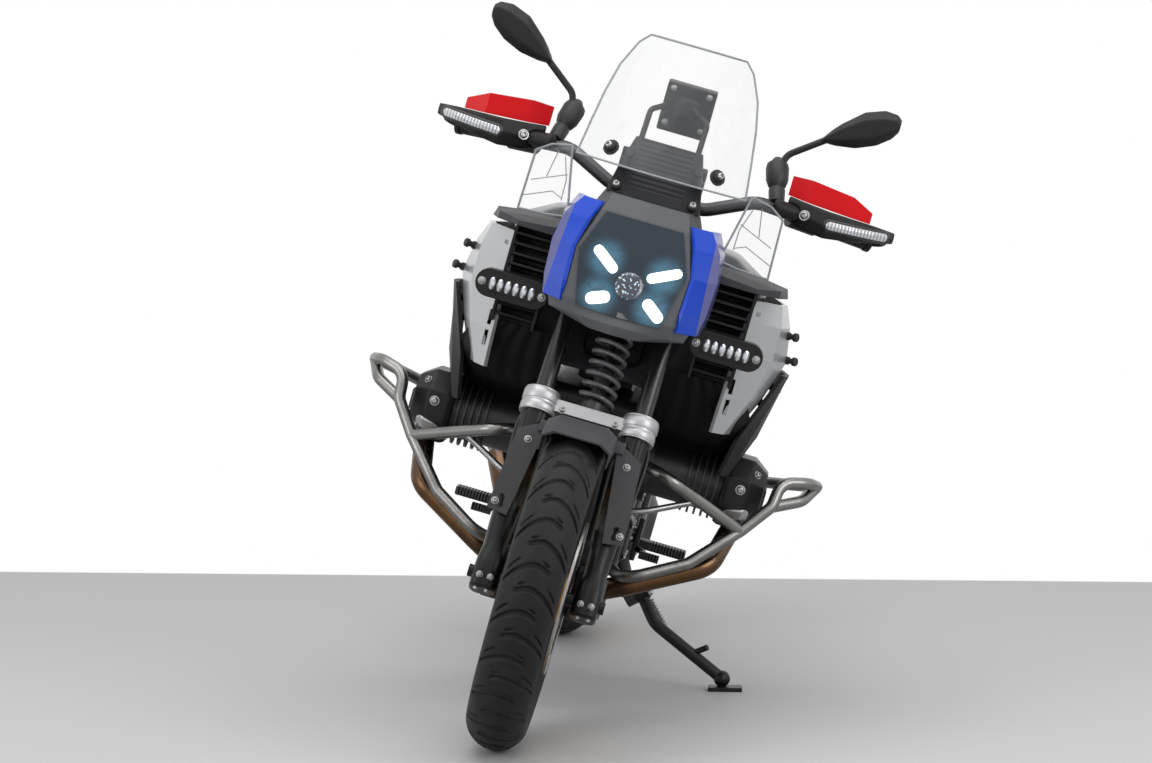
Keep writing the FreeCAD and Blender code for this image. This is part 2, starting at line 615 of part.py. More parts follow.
def front_wheel():
    bead = size.front_bead_radius
    hoop = rim("front_hoop", front_axle, bead, size.front_rim_width)
    bore = size.front_axle_radius + size.pin_play
    half = size.front_hub_half
    barrel = size.front_hub_radius
    boss = size.hub_boss_radius
    boss_in = half - size.hub_boss_length
    neck = boss_in - size.hub_boss_taper
    flange = size.front_flange_radius
    flange_in = size.front_flange_at - size.flange_wall / 2
    flange_out = size.front_flange_at + size.flange_wall / 2
    hub = turned("front_hub", [
        (-half, bore), (-half, boss), (-boss_in, boss), (-neck, barrel), (-flange_out, barrel),
        (-flange_out, flange), (-flange_in, flange), (-flange_in, barrel), (flange_in, barrel),
        (flange_in, flange), (flange_out, flange), (flange_out, barrel), (neck, barrel),
        (boss_in, boss), (half, boss), (half, bore)], front_axle)
    bars = spokes("front_spoke", front_axle, float(size.front_flange_at), flange - size.spoke_inset,
                  float(size.front_spoke_offset), bead - size.rim_wall / 2)
    sub_part("front_rim", [fuse("front_wheel_metal", [hoop, hub] + bars)])
    sub_part("front_tyre", [tyre("front_tyre_body", front_axle, size.front_tyre_radius,
                                 size.front_crown_radius, size.front_tyre_width, bead,
                                 size.front_rim_width, size.front_tyre_wall)])


def rear_wheel():
    bead = size.rear_bead_radius
    hoop = rim("rear_hoop", rear_axle, bead, size.rear_rim_width)
    bore = size.rear_axle_radius + size.pin_play
    barrel = size.rear_hub_radius
    flange = size.rear_flange_radius
    flange_in = size.rear_flange_at - size.flange_wall / 2
    flange_out = size.rear_flange_at + size.flange_wall / 2
    hub = turned("rear_hub", [
        (-size.rear_hub_right, bore), (-size.rear_hub_right, barrel), (-flange_out, barrel),
        (-flange_out, flange), (-flange_in, flange), (-flange_in, barrel), (flange_in, barrel),
        (flange_in, flange), (flange_out, flange), (flange_out, barrel), (size.rear_hub_left, barrel),
        (size.rear_hub_left, bore)], rear_axle)
    bars = spokes("rear_spoke", rear_axle, float(size.rear_flange_at), flange - size.spoke_inset,
                  float(size.rear_spoke_offset), bead - size.rim_wall / 2)
    sub_part("rear_rim", [fuse("rear_wheel_metal", [hoop, hub] + bars)])
    sub_part("rear_tyre", [tyre("rear_tyre_body", rear_axle, size.rear_tyre_radius,
                                size.rear_crown_radius, size.rear_tyre_width, bead,
                                size.rear_rim_width, size.rear_tyre_wall)])


def brake_disc(name, centre, inner_face, radius, band_inner, carrier, bore):
    """A friction band on a carrier with open arms, its inner face against the hub."""
    body = doc.addObject("PartDesign::Body", name)
    sketch = sketch_on(body, "YZ_Plane", name + "_outline")
    circle(sketch, (0, 0), radius)
    circle(sketch, (0, 0), bore)
    pad = body.newObject("PartDesign::Pad", name + "_pad")
    pad.Profile = sketch
    bind(pad, Length=size.disc_wall)
    doc.recompute()
    window = sketch_on(body, "YZ_Plane", name + "_window")
    reach = math.pi / disc_arm_count * disc_window_share
    places = [(carrier, -reach), (band_inner, -reach), (band_inner, 0), (band_inner, reach), (carrier, reach)]
    outline(window, [(away * math.cos(angle), away * math.sin(angle)) for away, angle in places])
    pocket = body.newObject("PartDesign::Pocket", name + "_pocket")
    pocket.Profile = window
    pocket.Type = "ThroughAll"
    pocket.Reversed = True
    pattern = body.newObject("PartDesign::PolarPattern", name + "_pattern")
    pattern.Originals = [pocket]
    pattern.Axis = (sketch, ["N_Axis"])
    pattern.Angle = 360
    pattern.Occurrences = disc_arm_count
    body.Tip = pattern
    body.Placement = Placement(centre + ACROSS * inner_face, Rotation())
    return body


def brake_discs():
    left = brake_disc("front_disc_left", front_axle, size.front_hub_half, size.front_disc_radius,
                      size.front_disc_inner, size.carrier_radius, size.front_hub_radius - size.disc_lip)
    sub_part("front_discs", both_sides(left))
    rear = brake_disc("rear_disc_body", rear_axle, size.rear_hub_left, size.rear_disc_radius,
                      size.rear_disc_inner, size.rear_flange_radius, size.rear_axle_radius + size.disc_lip)
    sub_part("rear_disc", [rear])


# Fork: tubes in sliders, an upper and a lower bridge, and the axle between the sliders.
lower_bridge_up = size.slider_top + size.collar_length / 2
ball_eye_up = lower_bridge_up + size.lower_bridge_wall / 2 + size.ball_gap


def fork():
    lead = -size.axle_lead
    side = size.fork_half_track
    collar_up = size.slider_top + size.collar_length
    upper = cylinder("fork_tube_left", size.fork_tube_radius, size.fork_tube_top - collar_up,
                     on_fork(side, lead, collar_up), fork_up)
    sub_part("fork_tubes", both_sides(upper))

    slider = cone("slider_left", size.slider_foot_radius, size.slider_radius,
                  size.slider_top - size.slider_bottom, on_fork(side, lead, size.slider_bottom), fork_up)
    other = mirrored(slider)
    axle_half = side + size.slider_foot_radius + size.axle_overhang
    axle = cylinder("front_axle_bar", size.front_axle_radius, axle_half * 2,
                    front_axle - ACROSS * axle_half, ACROSS)
    bore_half = axle_half + size.overrun
    bore = cylinder("front_axle_bore", size.axle_bore_radius, bore_half * 2,
                    front_axle - ACROSS * bore_half, ACROSS)
    joined = fuse("sliders_joined", [slider, other, axle])
    sub_part("fork_sliders", [cut("sliders_and_axle", joined, [bore])])

    collar = cylinder("collar_left", size.collar_radius, size.collar_length,
                      on_fork(side, lead, size.slider_top), fork_up)
    plate = block("lower_plate", side * 2, size.lower_bridge_width, size.lower_bridge_wall,
                  on_fork(0, lead + size.lower_bridge_setback, lower_bridge_up), fork_turn)
    nose = block("ball_boss", size.ball_boss_width, size.axle_lead + size.ball_boss_radius,
                 size.lower_bridge_wall, on_fork(0, (lead + size.ball_boss_radius) / 2, lower_bridge_up),
                 fork_turn)
    pin = cylinder("ball_pin", size.ball_pin_radius, size.ball_pin_length,
                   on_fork(0, 0, lower_bridge_up + size.lower_bridge_wall / 2 - size.bite), fork_up)
    lower = fuse("lower_bridge", [collar, mirrored(collar), plate, nose, pin])

    clamp = cylinder("yoke_clamp_left", size.fork_tube_radius + size.yoke_clamp_wall, size.yoke_wall,
                     on_fork(side, lead, size.yoke_up), fork_up)
    web = block("yoke_web", side * 2, size.yoke_reach * 2, size.yoke_wall,
                on_fork(0, lead / 2, size.yoke_up + size.yoke_wall / 2), fork_turn)
    stem = cylinder("steering_stem", size.stem_radius, size.stem_length + size.yoke_wall,
                    on_fork(0, 0, size.yoke_up - size.stem_length), fork_up)
    boss = cylinder("stem_boss", size.stem_radius + size.stem_boss_wall, size.yoke_wall,
                    on_fork(0, 0, size.yoke_up), fork_up)
    tube_hole = cylinder("yoke_tube_hole", size.fork_tube_radius, size.yoke_wall + size.overrun * 2,
                         on_fork(side, lead, size.yoke_up - size.overrun), fork_up)
    risers = []
    for sign in (-1, 1):
        foot = on_fork(sign * size.bar_clamp_x, lead / 2 + size.riser_setback,
                       size.yoke_up + size.yoke_wall - size.bite)
        head = Vector(sign * size.bar_clamp_x, size.bar_centre_y, size.bar_centre_z)
        risers.append(cylinder(f"riser{'_left' if sign > 0 else '_right'}", size.riser_radius,
                               (head - foot).Length + size.riser_cap, foot, head - foot))
    upper_bridge = fuse("upper_bridge", [clamp, mirrored(clamp), web, stem, boss] + risers)
    bar_hole = cylinder("bar_seat", size.bar_radius, size.bar_clamp_x * 4,
                        Vector(-size.bar_clamp_x * 2, size.bar_centre_y, size.bar_centre_z), ACROSS)
    yoke = cut("upper_bridge_bored", upper_bridge, [tube_hole, mirrored(tube_hole), bar_hole])
    sub_part("fork_bridges", [lower, yoke])
    return [slider, other]


def bar_points(sign):
    """The bar's bends on one side, out to its end."""
    return [Vector(sign * size.bar_clamp_x * 1.9, size.bar_centre_y, size.bar_centre_z),
            Vector(sign * size.bar_rise_x, size.bar_rise_y, size.bar_rise_z),
            Vector(sign * size.bar_end_x, size.bar_end_y, size.bar_end_z)]


def handlebar():
    bar = tube("handlebar_tube", bar_points(-1)[::-1] + bar_points(1), size.bar_radius, size.bar_bend)
    sub_part("handlebar", [bar])
    return bar


def bar_controls():
    """Grip, switch block, master cylinder and lever on each end of the bar."""
    rise, bar_end = bar_points(1)[1:]
    along = bar_end - rise
    length = along.Length - size.bar_grip_offset
    along.normalize()
    inner_end = rise + along * size.bar_grip_offset
    first = inner_end + along * (length - size.grip_length)
    grip = cylinder("grip_left", size.grip_radius, size.grip_length, first, along)
    cap = cylinder("bar_end_left", size.grip_radius + size.grip_cap_wall, size.grip_cap_length, bar_end,
                   along)
    switch = cylinder("switch_left", size.switch_radius, size.switch_length,
                      first - along * size.switch_length, along)
    master_at = inner_end + Vector(size.master_out, -size.master_ahead, size.master_lift)
    master = cylinder("master_left", size.master_radius, size.master_length, master_at, along * -1)
    arm = block("master_arm", size.control_arm_width, size.control_arm_length, size.control_arm_height,
                inner_end + Vector(-size.master_lift, -size.master_ahead / 2, size.master_lift / 2))
    lever = tube("lever_left", [
        master_at - along * size.lever_root, master_at + Vector(size.lever_out, -size.lever_drop, 0),
        bar_end - Vector(size.lever_tip_in, size.lever_ahead, size.lever_drop)],
        size.lever_radius, size.lever_bend)
    reach = length + size.overrun * 3
    bore = cylinder("grip_bore", size.bar_radius, reach, bar_end - along * reach, along)
    controls = cut("controls_bored", fuse("controls_left", [grip, cap, switch, master, arm, lever]), [bore])
    sub_part("bar_controls", both_sides(controls))
    return controls


# Side stand: an eye on its pivot pin, a bent leg and a flat foot on the ground.
stand_pivot = Vector(size.stand_pivot_x, size.stand_pivot_y, size.stand_pivot_z)
stand_tilt = math.radians(size.stand_tilt_angle)
stand_axis = Vector(math.cos(stand_tilt), 0, math.sin(stand_tilt))
knee_share = 0.24
spur_root_share = 0.55
spur_tip_share = 0.66


def side_stand():
    foot = Vector(size.stand_foot_x, size.stand_foot_y, size.stand_foot_x * math.tan(lean))
    knee = stand_pivot + (foot - stand_pivot) * knee_share
    knee = knee - Vector(size.stand_knee_in, size.stand_knee_ahead, size.stand_knee_drop)
    ankle = foot + Vector(-size.stand_ankle_in, size.stand_ankle_back, size.stand_ankle_rise)
    leg = tube("stand_leg", [stand_pivot, knee, ankle], size.stand_leg_radius, size.stand_leg_bend)
    level = Rotation(REAR, -float(size.lean_angle))
    sole = block("stand_sole", size.stand_foot_length, size.stand_foot_width, size.stand_foot_wall,
                 foot + level.multVec(UP) * (size.stand_foot_wall / 2), level, size.stand_foot_edge)
    ball = sphere("stand_ankle", size.stand_leg_radius + size.stand_ankle_wall, ankle)
    eye = cylinder("stand_eye", size.stand_eye_radius, size.stand_eye_wall,
                   stand_pivot - stand_axis * (size.stand_eye_wall / 2), stand_axis)
    shin = ankle - knee
    spur_root = knee + shin * spur_root_share
    spur_tip = knee + shin * spur_tip_share
    spur_tip = spur_tip + Vector(size.stand_spur_out, -size.stand_spur_ahead, size.stand_spur_rise)
    spur = tube("stand_spur", [spur_root, spur_tip], size.stand_spur_radius, size.stand_spur_radius)
    bore = cylinder("stand_bore", size.stand_pin_radius + size.pin_play, size.stand_eye_wall * 3,
                    stand_pivot - stand_axis * (size.stand_eye_wall * 1.5), stand_axis)
    joined = fuse("stand_joined", [leg, sole, ball, eye, spur])
    sub_part("side_stand", [cut("stand_bored", joined, [bore])])


# Engine: a case with a front cover, finned cylinders out of its sides and faceted head covers.
octagon_shares = [(-1, -0.45), (-0.55, -1), (0.55, -1), (1, -0.45), (1, 0.45), (0.55, 1), (-0.55, 1),
                  (-1, 0.45)]
head_section_shares = [(0, 0.94), (0.12, 1), (0.62, 1), (1, 0.7)]
fin_count = 5


def engine():
    length = size.engine_rear_y - size.engine_front_y
    height = size.engine_top_z - size.engine_bottom_z
    middle = Vector(0, size.engine_front_y + length / 2, size.engine_bottom_z + height / 2)
    case = block("crankcase_block", size.engine_width, length, height, middle, Rotation(), size.engine_edge)
    cover_sections = []
    for reach, bevel in [(-size.bite, 0), (size.front_cover_wall / 2, 0),
                         (size.front_cover_wall, size.front_cover_bevel / 2)]:
        wide = (size.front_cover_width - bevel) / 2
        tall = (size.front_cover_height - bevel) / 2
        cover_sections.append([Vector(u * wide, size.engine_front_y - reach, middle.z + w * tall)
                               for u, w in octagon_shares])
    cover = loft("front_cover", cover_sections)
    boss = cylinder("front_boss", size.front_boss_radius, size.front_cover_wall + size.front_boss_wall,
                    Vector(0, size.engine_front_y, size.cylinder_z), AHEAD)
    side_cover = cylinder("side_cover", size.clutch_cover_radius,
                          size.engine_width + size.clutch_cover_wall * 2,
                          Vector(-size.engine_width / 2 - size.clutch_cover_wall, size.clutch_cover_y,
                                 size.clutch_cover_z), ACROSS)
    crankcase = fuse("crankcase_joined", [case, cover, boss, side_cover])
    sub_part("crankcase", [crankcase])

    root = size.engine_width / 2
    collar = root + size.base_flange_wall
    barrel = size.cylinder_radius
    profile = [(root, 0), (root, size.base_flange_radius), (collar, size.base_flange_radius),
               (collar, barrel)]
    for n in range(fin_count):
        start = size.cylinder_outer_x - size.fin_pitch * (fin_count - n)
        end = start + size.fin_wall
        profile += [(start, barrel), (start, size.fin_radius), (end, size.fin_radius), (end, barrel)]
    profile += [(size.cylinder_outer_x, barrel), (size.cylinder_outer_x, 0)]
    centre = Vector(0, size.cylinder_y, size.cylinder_z)
    sub_part("cylinders", both_sides(turned("cylinder_left", profile, centre)))

    sections = []
    for depth_share, scale_share in head_section_shares:
        x = size.cylinder_outer_x + size.head_depth * depth_share
        wide = size.head_length / 2 * scale_share
        tall = size.head_height / 2 * scale_share
        sections.append([centre + Vector(x, u * wide, w * tall) for u, w in octagon_shares])
    ridge = block("head_ridge", size.head_ridge_height * 2, size.head_length / 2, size.head_ridge_width,
                  centre + ACROSS * (size.cylinder_outer_x + size.head_depth), Rotation(), size.head_edge)
    heads = both_sides(fuse("head_left", [loft("head_cover_left", sections), ridge]))
    sub_part("head_covers", heads)
    return crankcase, heads


# Exhaust: two headers under the crankcase, a collector, a link pipe and the silencer.
muffler_corner_shares = [(-1, -0.45), (-0.35, -1), (0.6, -0.9), (1, -0.2), (0.9, 0.6), (-0.2, 1), (-1, 0.5)]
muffler_station_shares = [(0, 0.55), (0.16, 0.95), (0.8, 1), (1, 0.78)]
header_shares = [(1, 1, 1), (0.929, 0.343, 0.598), (0.471, 0, 0.211), (0.224, 0.09, 0)]


def muffler():
    """A silencer of many-sided section that rises towards the rear on the right."""
    half = size.muffler_width / 2
    tall = size.muffler_height / 2
    rise = Vector(0, size.muffler_length, size.muffler_rise)
    start = Vector(size.muffler_x, size.muffler_front_y, size.muffler_front_z + tall)
    sections = []
    for along_share, scale_share in muffler_station_shares:
        centre = start + rise * along_share
        sections.append([centre + Vector(u * half * scale_share, 0, w * tall * scale_share)
                         for u, w in muffler_corner_shares])
    can = loft("muffler_can", sections)
    outward = Vector(rise)
    outward.normalize()
    outlet = cylinder("muffler_outlet", size.outlet_radius, size.outlet_length + size.overrun,
                      start + rise - outward * size.overrun, outward)
    bore = cylinder("outlet_bore", size.outlet_radius - size.outlet_wall, size.outlet_length + size.overrun,
                    start + rise, outward)
    silencer = cut("muffler_bored", fuse("muffler_joined", [can, outlet]), [bore])
    sub_part("muffler", [silencer])
    return silencer


def exhaust(can, heads):
    bottom = size.engine_bottom_z - size.collector_radius - size.collector_drop
    join = Vector(0, size.engine_front_y + size.header_join, bottom)
    low = (0, size.header_front_y, size.header_low_z)
    points = spread(header_shares, low, (size.header_half_width, size.header_reach, size.header_height))
    header = tube("header_left", points + [join], size.header_radius, size.header_bend)
    collector = cylinder("collector", size.collector_radius, size.collector_length, join, REAR)
    tail_start = join + REAR * (size.collector_length - size.bite)
    pipe = tube("link_pipe", [
        tail_start, tail_start + Vector(-size.link_turn, size.link_start, 0),
        Vector(-size.link_out, size.link_run, size.link_low_z),
        Vector(size.muffler_x, size.muffler_front_y + size.bite * 3,
               size.muffler_front_z + size.muffler_inlet)],
        size.link_radius, size.header_bend)
    joined = fuse("exhaust_joined", [header, mirrored(header), collector, pipe])
    sub_part("exhaust_pipes", [cut("exhaust_seated", joined, [can] + heads)])


# Guards below: a bent skid plate on posts, and round bars about each cylinder head.
hoop_shares = [(0.211, 0.339, 0.032), (0.305, 0, 0), (0.553, 0.175, 0.221), (0.732, 0.312, 0.548),
               (0.829, 0.381, 0.772), (0.841, 0.439, 0.957), (0.955, 0.508, 1), (1, 0.656, 0.972),
               (0.939, 0.91, 0.915), (0.797, 0.974, 0.858), (0.244, 1, 0.772)]
ring_shares = [(0.826, 0.395, 0.765), (0.948, 0.505, 0.858), (0.994, 0.65, 0.967)]
brace_shares = [(0.728, 0.31, 0.541), (0.352, -0.016, 0.829), (0.211, 0.339, 0.829)]


def skid_plate():
    wall = size.skid_wall
    top = size.engine_bottom_z - size.collector_radius * 2 - size.skid_drop
    nose_y = size.skid_front_y - size.skid_nose
    nose_z = top + size.skid_nose_rise
    corners = [(size.skid_rear_y, top), (size.skid_front_y, top), (nose_y, nose_z),
               (nose_y - wall, nose_z - wall / 3), (size.skid_front_y - wall / 2, top - wall),
               (size.skid_rear_y, top - wall)]
    plate = padded("skid_sheet", "YZ_Plane", [corners], [], size.skid_width, Placement())
    post_x = size.skid_width / 2 - size.skid_post_inset
    posts = [cylinder(f"skid_post{n}", size.skid_post_radius, size.engine_bottom_z - top + size.bite * 2,
                      Vector(post_x, y, top - size.bite), UP)
             for n, y in enumerate((size.skid_post_front_y, size.skid_post_rear_y))]
    return fuse("skid_joined", [plate] + posts + [mirrored(post) for post in posts])


def crash_bars(crankcase):
    low = (0, size.crash_front_y, size.crash_low_z)
    span = (size.crash_half_width, size.crash_length, size.crash_height)
    bars = [tube(name, spread(shares, low, span), size.crash_radius, size.crash_bend)
            for name, shares in [("crash_hoop", hoop_shares), ("crash_ring", ring_shares),
                                 ("crash_brace", brace_shares)]]
    left = cut("crash_left", fuse("crash_joined", bars), [crankcase])
    sub_part("crash_bar_left", [left])
    sub_part("crash_bar_right", [mirrored(left)])


# Frame: two welded sides with a headstock, and a tubular rear that carries seats and rack.
frame_shares = [(0.065, 0.944), (0.073, 1), (0.173, 0.97), (0.514, 0.826), (0.797, 0.767), (0.949, 0.544),
                (1, 0.23), (0.989, 0.021), (0.865, 0), (0.832, 0.16), (0.832, 0.537), (0.432, 0.537),
                (0.189, 0.571), (0.092, 0.718), (0, 0.791), (0.014, 0.901)]
front_window_shares = [(0.059, 0.286), (0, 1), (0.47, 0.564), (0.47, 0), (0.176, 0)]
rear_window_shares = [(0.56, 0.485), (0.618, 0.429), (1, 0.214), (0.941, 0), (0.56, 0)]
rail_shares = [(0.417, 0, 0), (1, 0.105, 0.273), (1, 0.577, 0.273), (1, 1, 1)]
strut_shares = [(0.417, 0, 0), (1, 0.18, 0.076), (1, 1, 1)]
cross_shares = [(0, 0.192, 0.273), (0, 0.526, 0.273), (0, 0.995, 0.99)]


def main_frame():
    corners = spread_flat(frame_shares, (size.frame_front_y, size.frame_low_z),
                          (size.frame_length, size.frame_height))
    windows = [spread_flat(shares, (size.frame_window_y, size.frame_window_z),
                           (size.frame_window_length, size.frame_window_height))
               for shares in (front_window_shares, rear_window_shares)]
    sides = padded("frame_sides", "YZ_Plane", [corners] + windows, [], size.frame_width, Placement())
    ring_length = size.stem_length - size.moving_play * 2
    ring = cylinder("head_ring", size.head_ring_radius, ring_length,
                    on_fork(0, 0, size.yoke_up - size.moving_play - ring_length), fork_up)
    bore = cylinder("head_bore", size.stem_radius + size.pin_play, size.stem_length * 3,
                    on_fork(0, 0, size.yoke_up - size.stem_length * 2), fork_up)
    pivot = cylinder("pivot_bore", size.pivot_radius, size.frame_width * 2,
                     Vector(-size.frame_width, size.pivot_y, size.pivot_z), ACROSS)
    frame = cut("frame_bored", fuse("frame_joined", [sides, ring]), [bore, pivot])
    sub_part("main_frame", [frame])
    return frame


def subframe(frame, can):
    """Seat rails and lower struts of round tube, with cross tubes and the silencer hanger."""
    x = size.rail_x
    low = (0, size.rail_start_y, size.rail_low_z)
    span = (x, size.rail_length, size.rail_rise)
    rail = tube("seat_rail", spread(rail_shares, low, span), size.rail_radius, size.rail_bend)
    brace_low = (0, size.brace_start_y, size.brace_low_z)
    brace_span = (x, size.brace_length, size.brace_rise)
    strut = tube("lower_strut", spread(strut_shares, brace_low, brace_span), size.rail_radius,
                 size.rail_bend)
    web_foot = Vector(x, size.web_y, size.web_low_z)
    web = tube("rail_web", [web_foot, web_foot + UP * size.web_height], size.hanger_radius, size.rail_bend)
    cross = [cylinder(f"cross{n}", size.rail_radius, x * 2, place - ACROSS * x, ACROSS)
             for n, place in enumerate(spread(cross_shares, low, span))]
    hook = Vector(-x, size.hanger_y, size.hanger_z)
    hanger = tube("hanger", [hook, hook - Vector(size.hanger_out, 0, size.hanger_drop),
                             Vector(size.muffler_x, size.hanger_foot_y, size.hanger_foot_z)],
                  size.hanger_radius, size.rail_bend)
    joined = fuse("rails_joined", both_sides(rail) + both_sides(strut) + both_sides(web) + [hanger] + cross)
    rails = cut("rails_seated", joined, [frame, can])
    sub_part("rear_subframe", [rails])
    return rails


# Rear drive: a single arm on the left with its bell-shaped drive, hollow axle, caliper and pivot.
arm_shares = [(0, 0, 0.9), (0.286, 0.095, 1), (0.714, 0.667, 0.9), (1, 1, 0.8)]
arm_corner_shares = [(0, -1), (0.75, -1), (1, -0.5), (1, 0.5), (0.75, 1), (0, 1)]
bell_shares = [(0, 1), (0.5, 1), (0.68, 0.92), (0.82, 0.66), (1, 0.42)]


def swingarm():
    inner = size.drive_inner_x
    depth = size.drive_width + size.drive_cover_depth
    profile = [(inner, 0)] + [(inner + depth * u, size.drive_radius * w) for u, w in bell_shares]
    drive = turned("drive_housing", profile + [(inner + depth, 0)], rear_axle)
    stub_reach = size.rear_hub_right + size.axle_end
    stub = cylinder("rear_stub", size.rear_axle_radius, inner + stub_reach + size.bite,
                    rear_axle - ACROSS * stub_reach, ACROSS)
    nut = cylinder("rear_nut", size.rear_hub_radius - size.axle_nut_wall, size.axle_end - size.pin_play,
                   rear_axle - ACROSS * stub_reach, ACROSS)
    tall = size.arm_height / 2
    sections = []
    for along_share, drop_share, scale_share in arm_shares:
        centre = Vector(size.arm_inner_x, size.arm_front_y + size.arm_length * along_share,
                        size.arm_front_z - size.arm_drop * drop_share)
        sections.append([centre + Vector(size.arm_width * u, 0, tall * scale_share * w)
                         for u, w in arm_corner_shares])
    arm = loft("arm_beam", sections)
    bridge_width = size.arm_inner_x * 2 + size.arm_width
    bridge = block("arm_bridge", bridge_width, size.arm_bridge_depth, size.arm_bridge_height,
                   Vector(size.arm_width / 2, size.arm_bridge_y, size.arm_front_z), Rotation(),
                   size.arm_bridge_edge)
    face = size.frame_width / 2 + size.pin_play
    ears = []
    for sign in (-1, 1):
        ears.append(cylinder(f"ear{sign + 1}", size.pivot_ear_radius, size.pivot_ear_width,
                             Vector(sign * face, size.pivot_y, size.pivot_z), ACROSS * sign))
        ears.append(block(f"ear_link{sign + 1}", size.pivot_ear_width, size.pivot_link_length,
                          size.pivot_link_height,
                          Vector(sign * (face + size.pivot_ear_width / 2),
                                 size.pivot_y + size.pivot_link_length / 2, size.pivot_z)))
    pin_half = size.frame_width / 2 + size.pivot_end
    pin = cylinder("pivot_pin", size.pivot_radius, pin_half * 2,
                   Vector(-pin_half, size.pivot_y, size.pivot_z), ACROSS)
    caliper = block("rear_caliper", size.rear_caliper_width, size.rear_caliper_length,
                    size.rear_caliper_height,
                    rear_axle + Vector(size.rear_caliper_x, -size.rear_caliper_ahead, size.rear_caliper_up),
                    Rotation(), size.rear_caliper_edge)
    slot = cylinder("rear_slot", size.rear_disc_radius + size.moving_play,
                    size.disc_wall + size.moving_play * 2,
                    rear_axle + ACROSS * (size.rear_hub_left - size.moving_play), ACROSS)
    cheek = cut("caliper_slotted", caliper, [slot])
    hole_half = stub_reach + depth + size.drive_inner_x + size.overrun
    hole = cylinder("rear_bore", size.rear_bore_radius, hole_half * 2, rear_axle - ACROSS * hole_half, ACROSS)
    joined = fuse("swingarm_joined", [drive, stub, nut, arm, bridge, pin, cheek] + ears)
    body = cut("swingarm_bored", joined, [hole])
    sub_part("swingarm", [body])
    return body


# Tank and seats. A tank row: along it, half widths below, at the shoulder and on top, two heights.
tank_shares = [(0.0, 0.72, 0.84, 0.42, 0.74, 0.9), (0.12, 0.84, 0.95, 0.42, 0.8, 0.97),
               (0.25, 0.9, 1.0, 0.4, 0.84, 1.0), (0.4, 0.9, 1.0, 0.4, 0.82, 1.0),
               (0.55, 0.86, 0.96, 0.4, 0.78, 0.99), (0.7, 0.73, 0.82, 0.38, 0.7, 0.93),
               (0.8, 0.62, 0.68, 0.36, 0.6, 0.84), (1.0, 0.44, 0.46, 0.3, 0.36, 0.5)]
rider_seat_shares = [(0, 0.5, 0.74), (0.12, 0.6, 0.6), (0.3, 0.72, 0.52), (0.7, 1, 0.57), (1, 0.96, 1)]
pillion_seat_shares = [(0, 0.9, 0.96), (0.4, 0.94, 0.98), (0.8, 0.86, 1), (1, 0.74, 0.97)]
seat_corner_shares = [(-0.88, 0), (0.88, 0), (1, 0.6), (0.8, 1), (-0.8, 1), (-1, 0.6)]


def tank(frame):
    """A broad tank over the backbone, scooped in front for the fork's swing."""
    half = size.tank_width / 2
    tall = size.tank_height
    base = size.tank_top_z - tall
    sections = []
    for along_share, low_share, wide_share, top_share, shoulder_share, height_share in tank_shares:
        y = size.tank_front_y + size.tank_length * along_share
        crest_share = (top_share + wide_share) / 2
        right = [(low_share, 0), (wide_share, shoulder_share * 0.42), (wide_share * 0.97, shoulder_share),
                 (crest_share, shoulder_share * 0.2 + height_share * 0.8), (top_share, height_share)]
        both = right + [(-u, w) for u, w in reversed(right)]
        sections.append([Vector(half * u, y, base + tall * w) for u, w in both])
    shell = loft("tank_shell", sections)
    cap = cylinder("tank_cap", size.cap_radius, size.cap_height + size.bite * 2,
                   Vector(0, size.cap_y, size.tank_top_z - size.bite * 2), UP)
    swing = cylinder("fork_swing", size.fork_swing_radius, size.fork_swing_length,
                     on_fork(0, 0, size.fork_swing_up), fork_up)
    return cut("tank_scooped", fuse("tank_joined", [shell, cap]), [swing, frame])


def seat(name, shares, start, length, height):
    sections = []
    for along_share, wide_share, tall_share in shares:
        sections.append([Vector(size.seat_width / 2 * wide_share * u, start + length * along_share,
                                size.seat_base_z + height * tall_share * w) for u, w in seat_corner_shares])
    return loft(name, sections)


def seats(frame, rails):
    """A dished rider seat and a raised passenger seat behind it."""
    rider = seat("rider_seat", rider_seat_shares, size.seat_front_y, size.rider_seat_length,
                 size.rider_seat_height)
    split = size.seat_front_y + size.rider_seat_length + size.seat_split
    pillion = seat("passenger_seat", pillion_seat_shares, split, size.pillion_seat_length,
                   size.pillion_seat_height)
    sub_part("seats", [cut("rider_seat_seated", rider, [frame, rails]),
                       cut("passenger_seat_seated", pillion, [frame, rails])])
    return split + size.pillion_seat_length


# Fairing panels: at each height share, a line of (across, along) shares from the front backwards.
silver_levels_shares = [
    (0, [(0.693, 0.05), (0.761, 0.112), (0.812, 0.274), (0.807, 0.544), (0.744, 0.772)]),
    (0.281, [(0.699, 0.025), (0.852, 0.137), (0.92, 0.336), (0.903, 0.647), (0.744, 0.896)]),
    (0.596, [(0.705, 0), (0.915, 0.17), (1, 0.357), (0.949, 0.73), (0.71, 0.992)]),
    (0.842, [(0.716, 0.021), (0.915, 0.191), (0.966, 0.367), (0.909, 0.741), (0.67, 1)]),
    (1, [(0.733, 0.037), (0.886, 0.207), (0.915, 0.357), (0.852, 0.71), (0.631, 0.979)])]
wing_levels_shares = [
    (0, [(0.776, 0), (0.814, 0.091), (0.825, 0.227), (0.82, 0.3)]),
    (0.388, [(0.825, 0), (0.891, 0.182), (0.923, 0.455), (0.907, 0.864)]),
    (1, [(0.978, 0.245), (1, 0.4), (1, 0.591), (0.962, 1)])]
blue_levels_shares = [
    (0, [(0.682, 0.011), (0.909, 0.341), (0.966, 1)]), (0.192, [(0.705, 0), (0.955, 0.398), (0.989, 1)]),
    (0.529, [(0.716, 0.102), (0.977, 0.455), (1, 1)]), (0.803, [(0.636, 0.227), (0.92, 0.511), (0.966, 1)]),
    (1, [(0.545, 0.375), (0.761, 0.597), (0.852, 1)])]
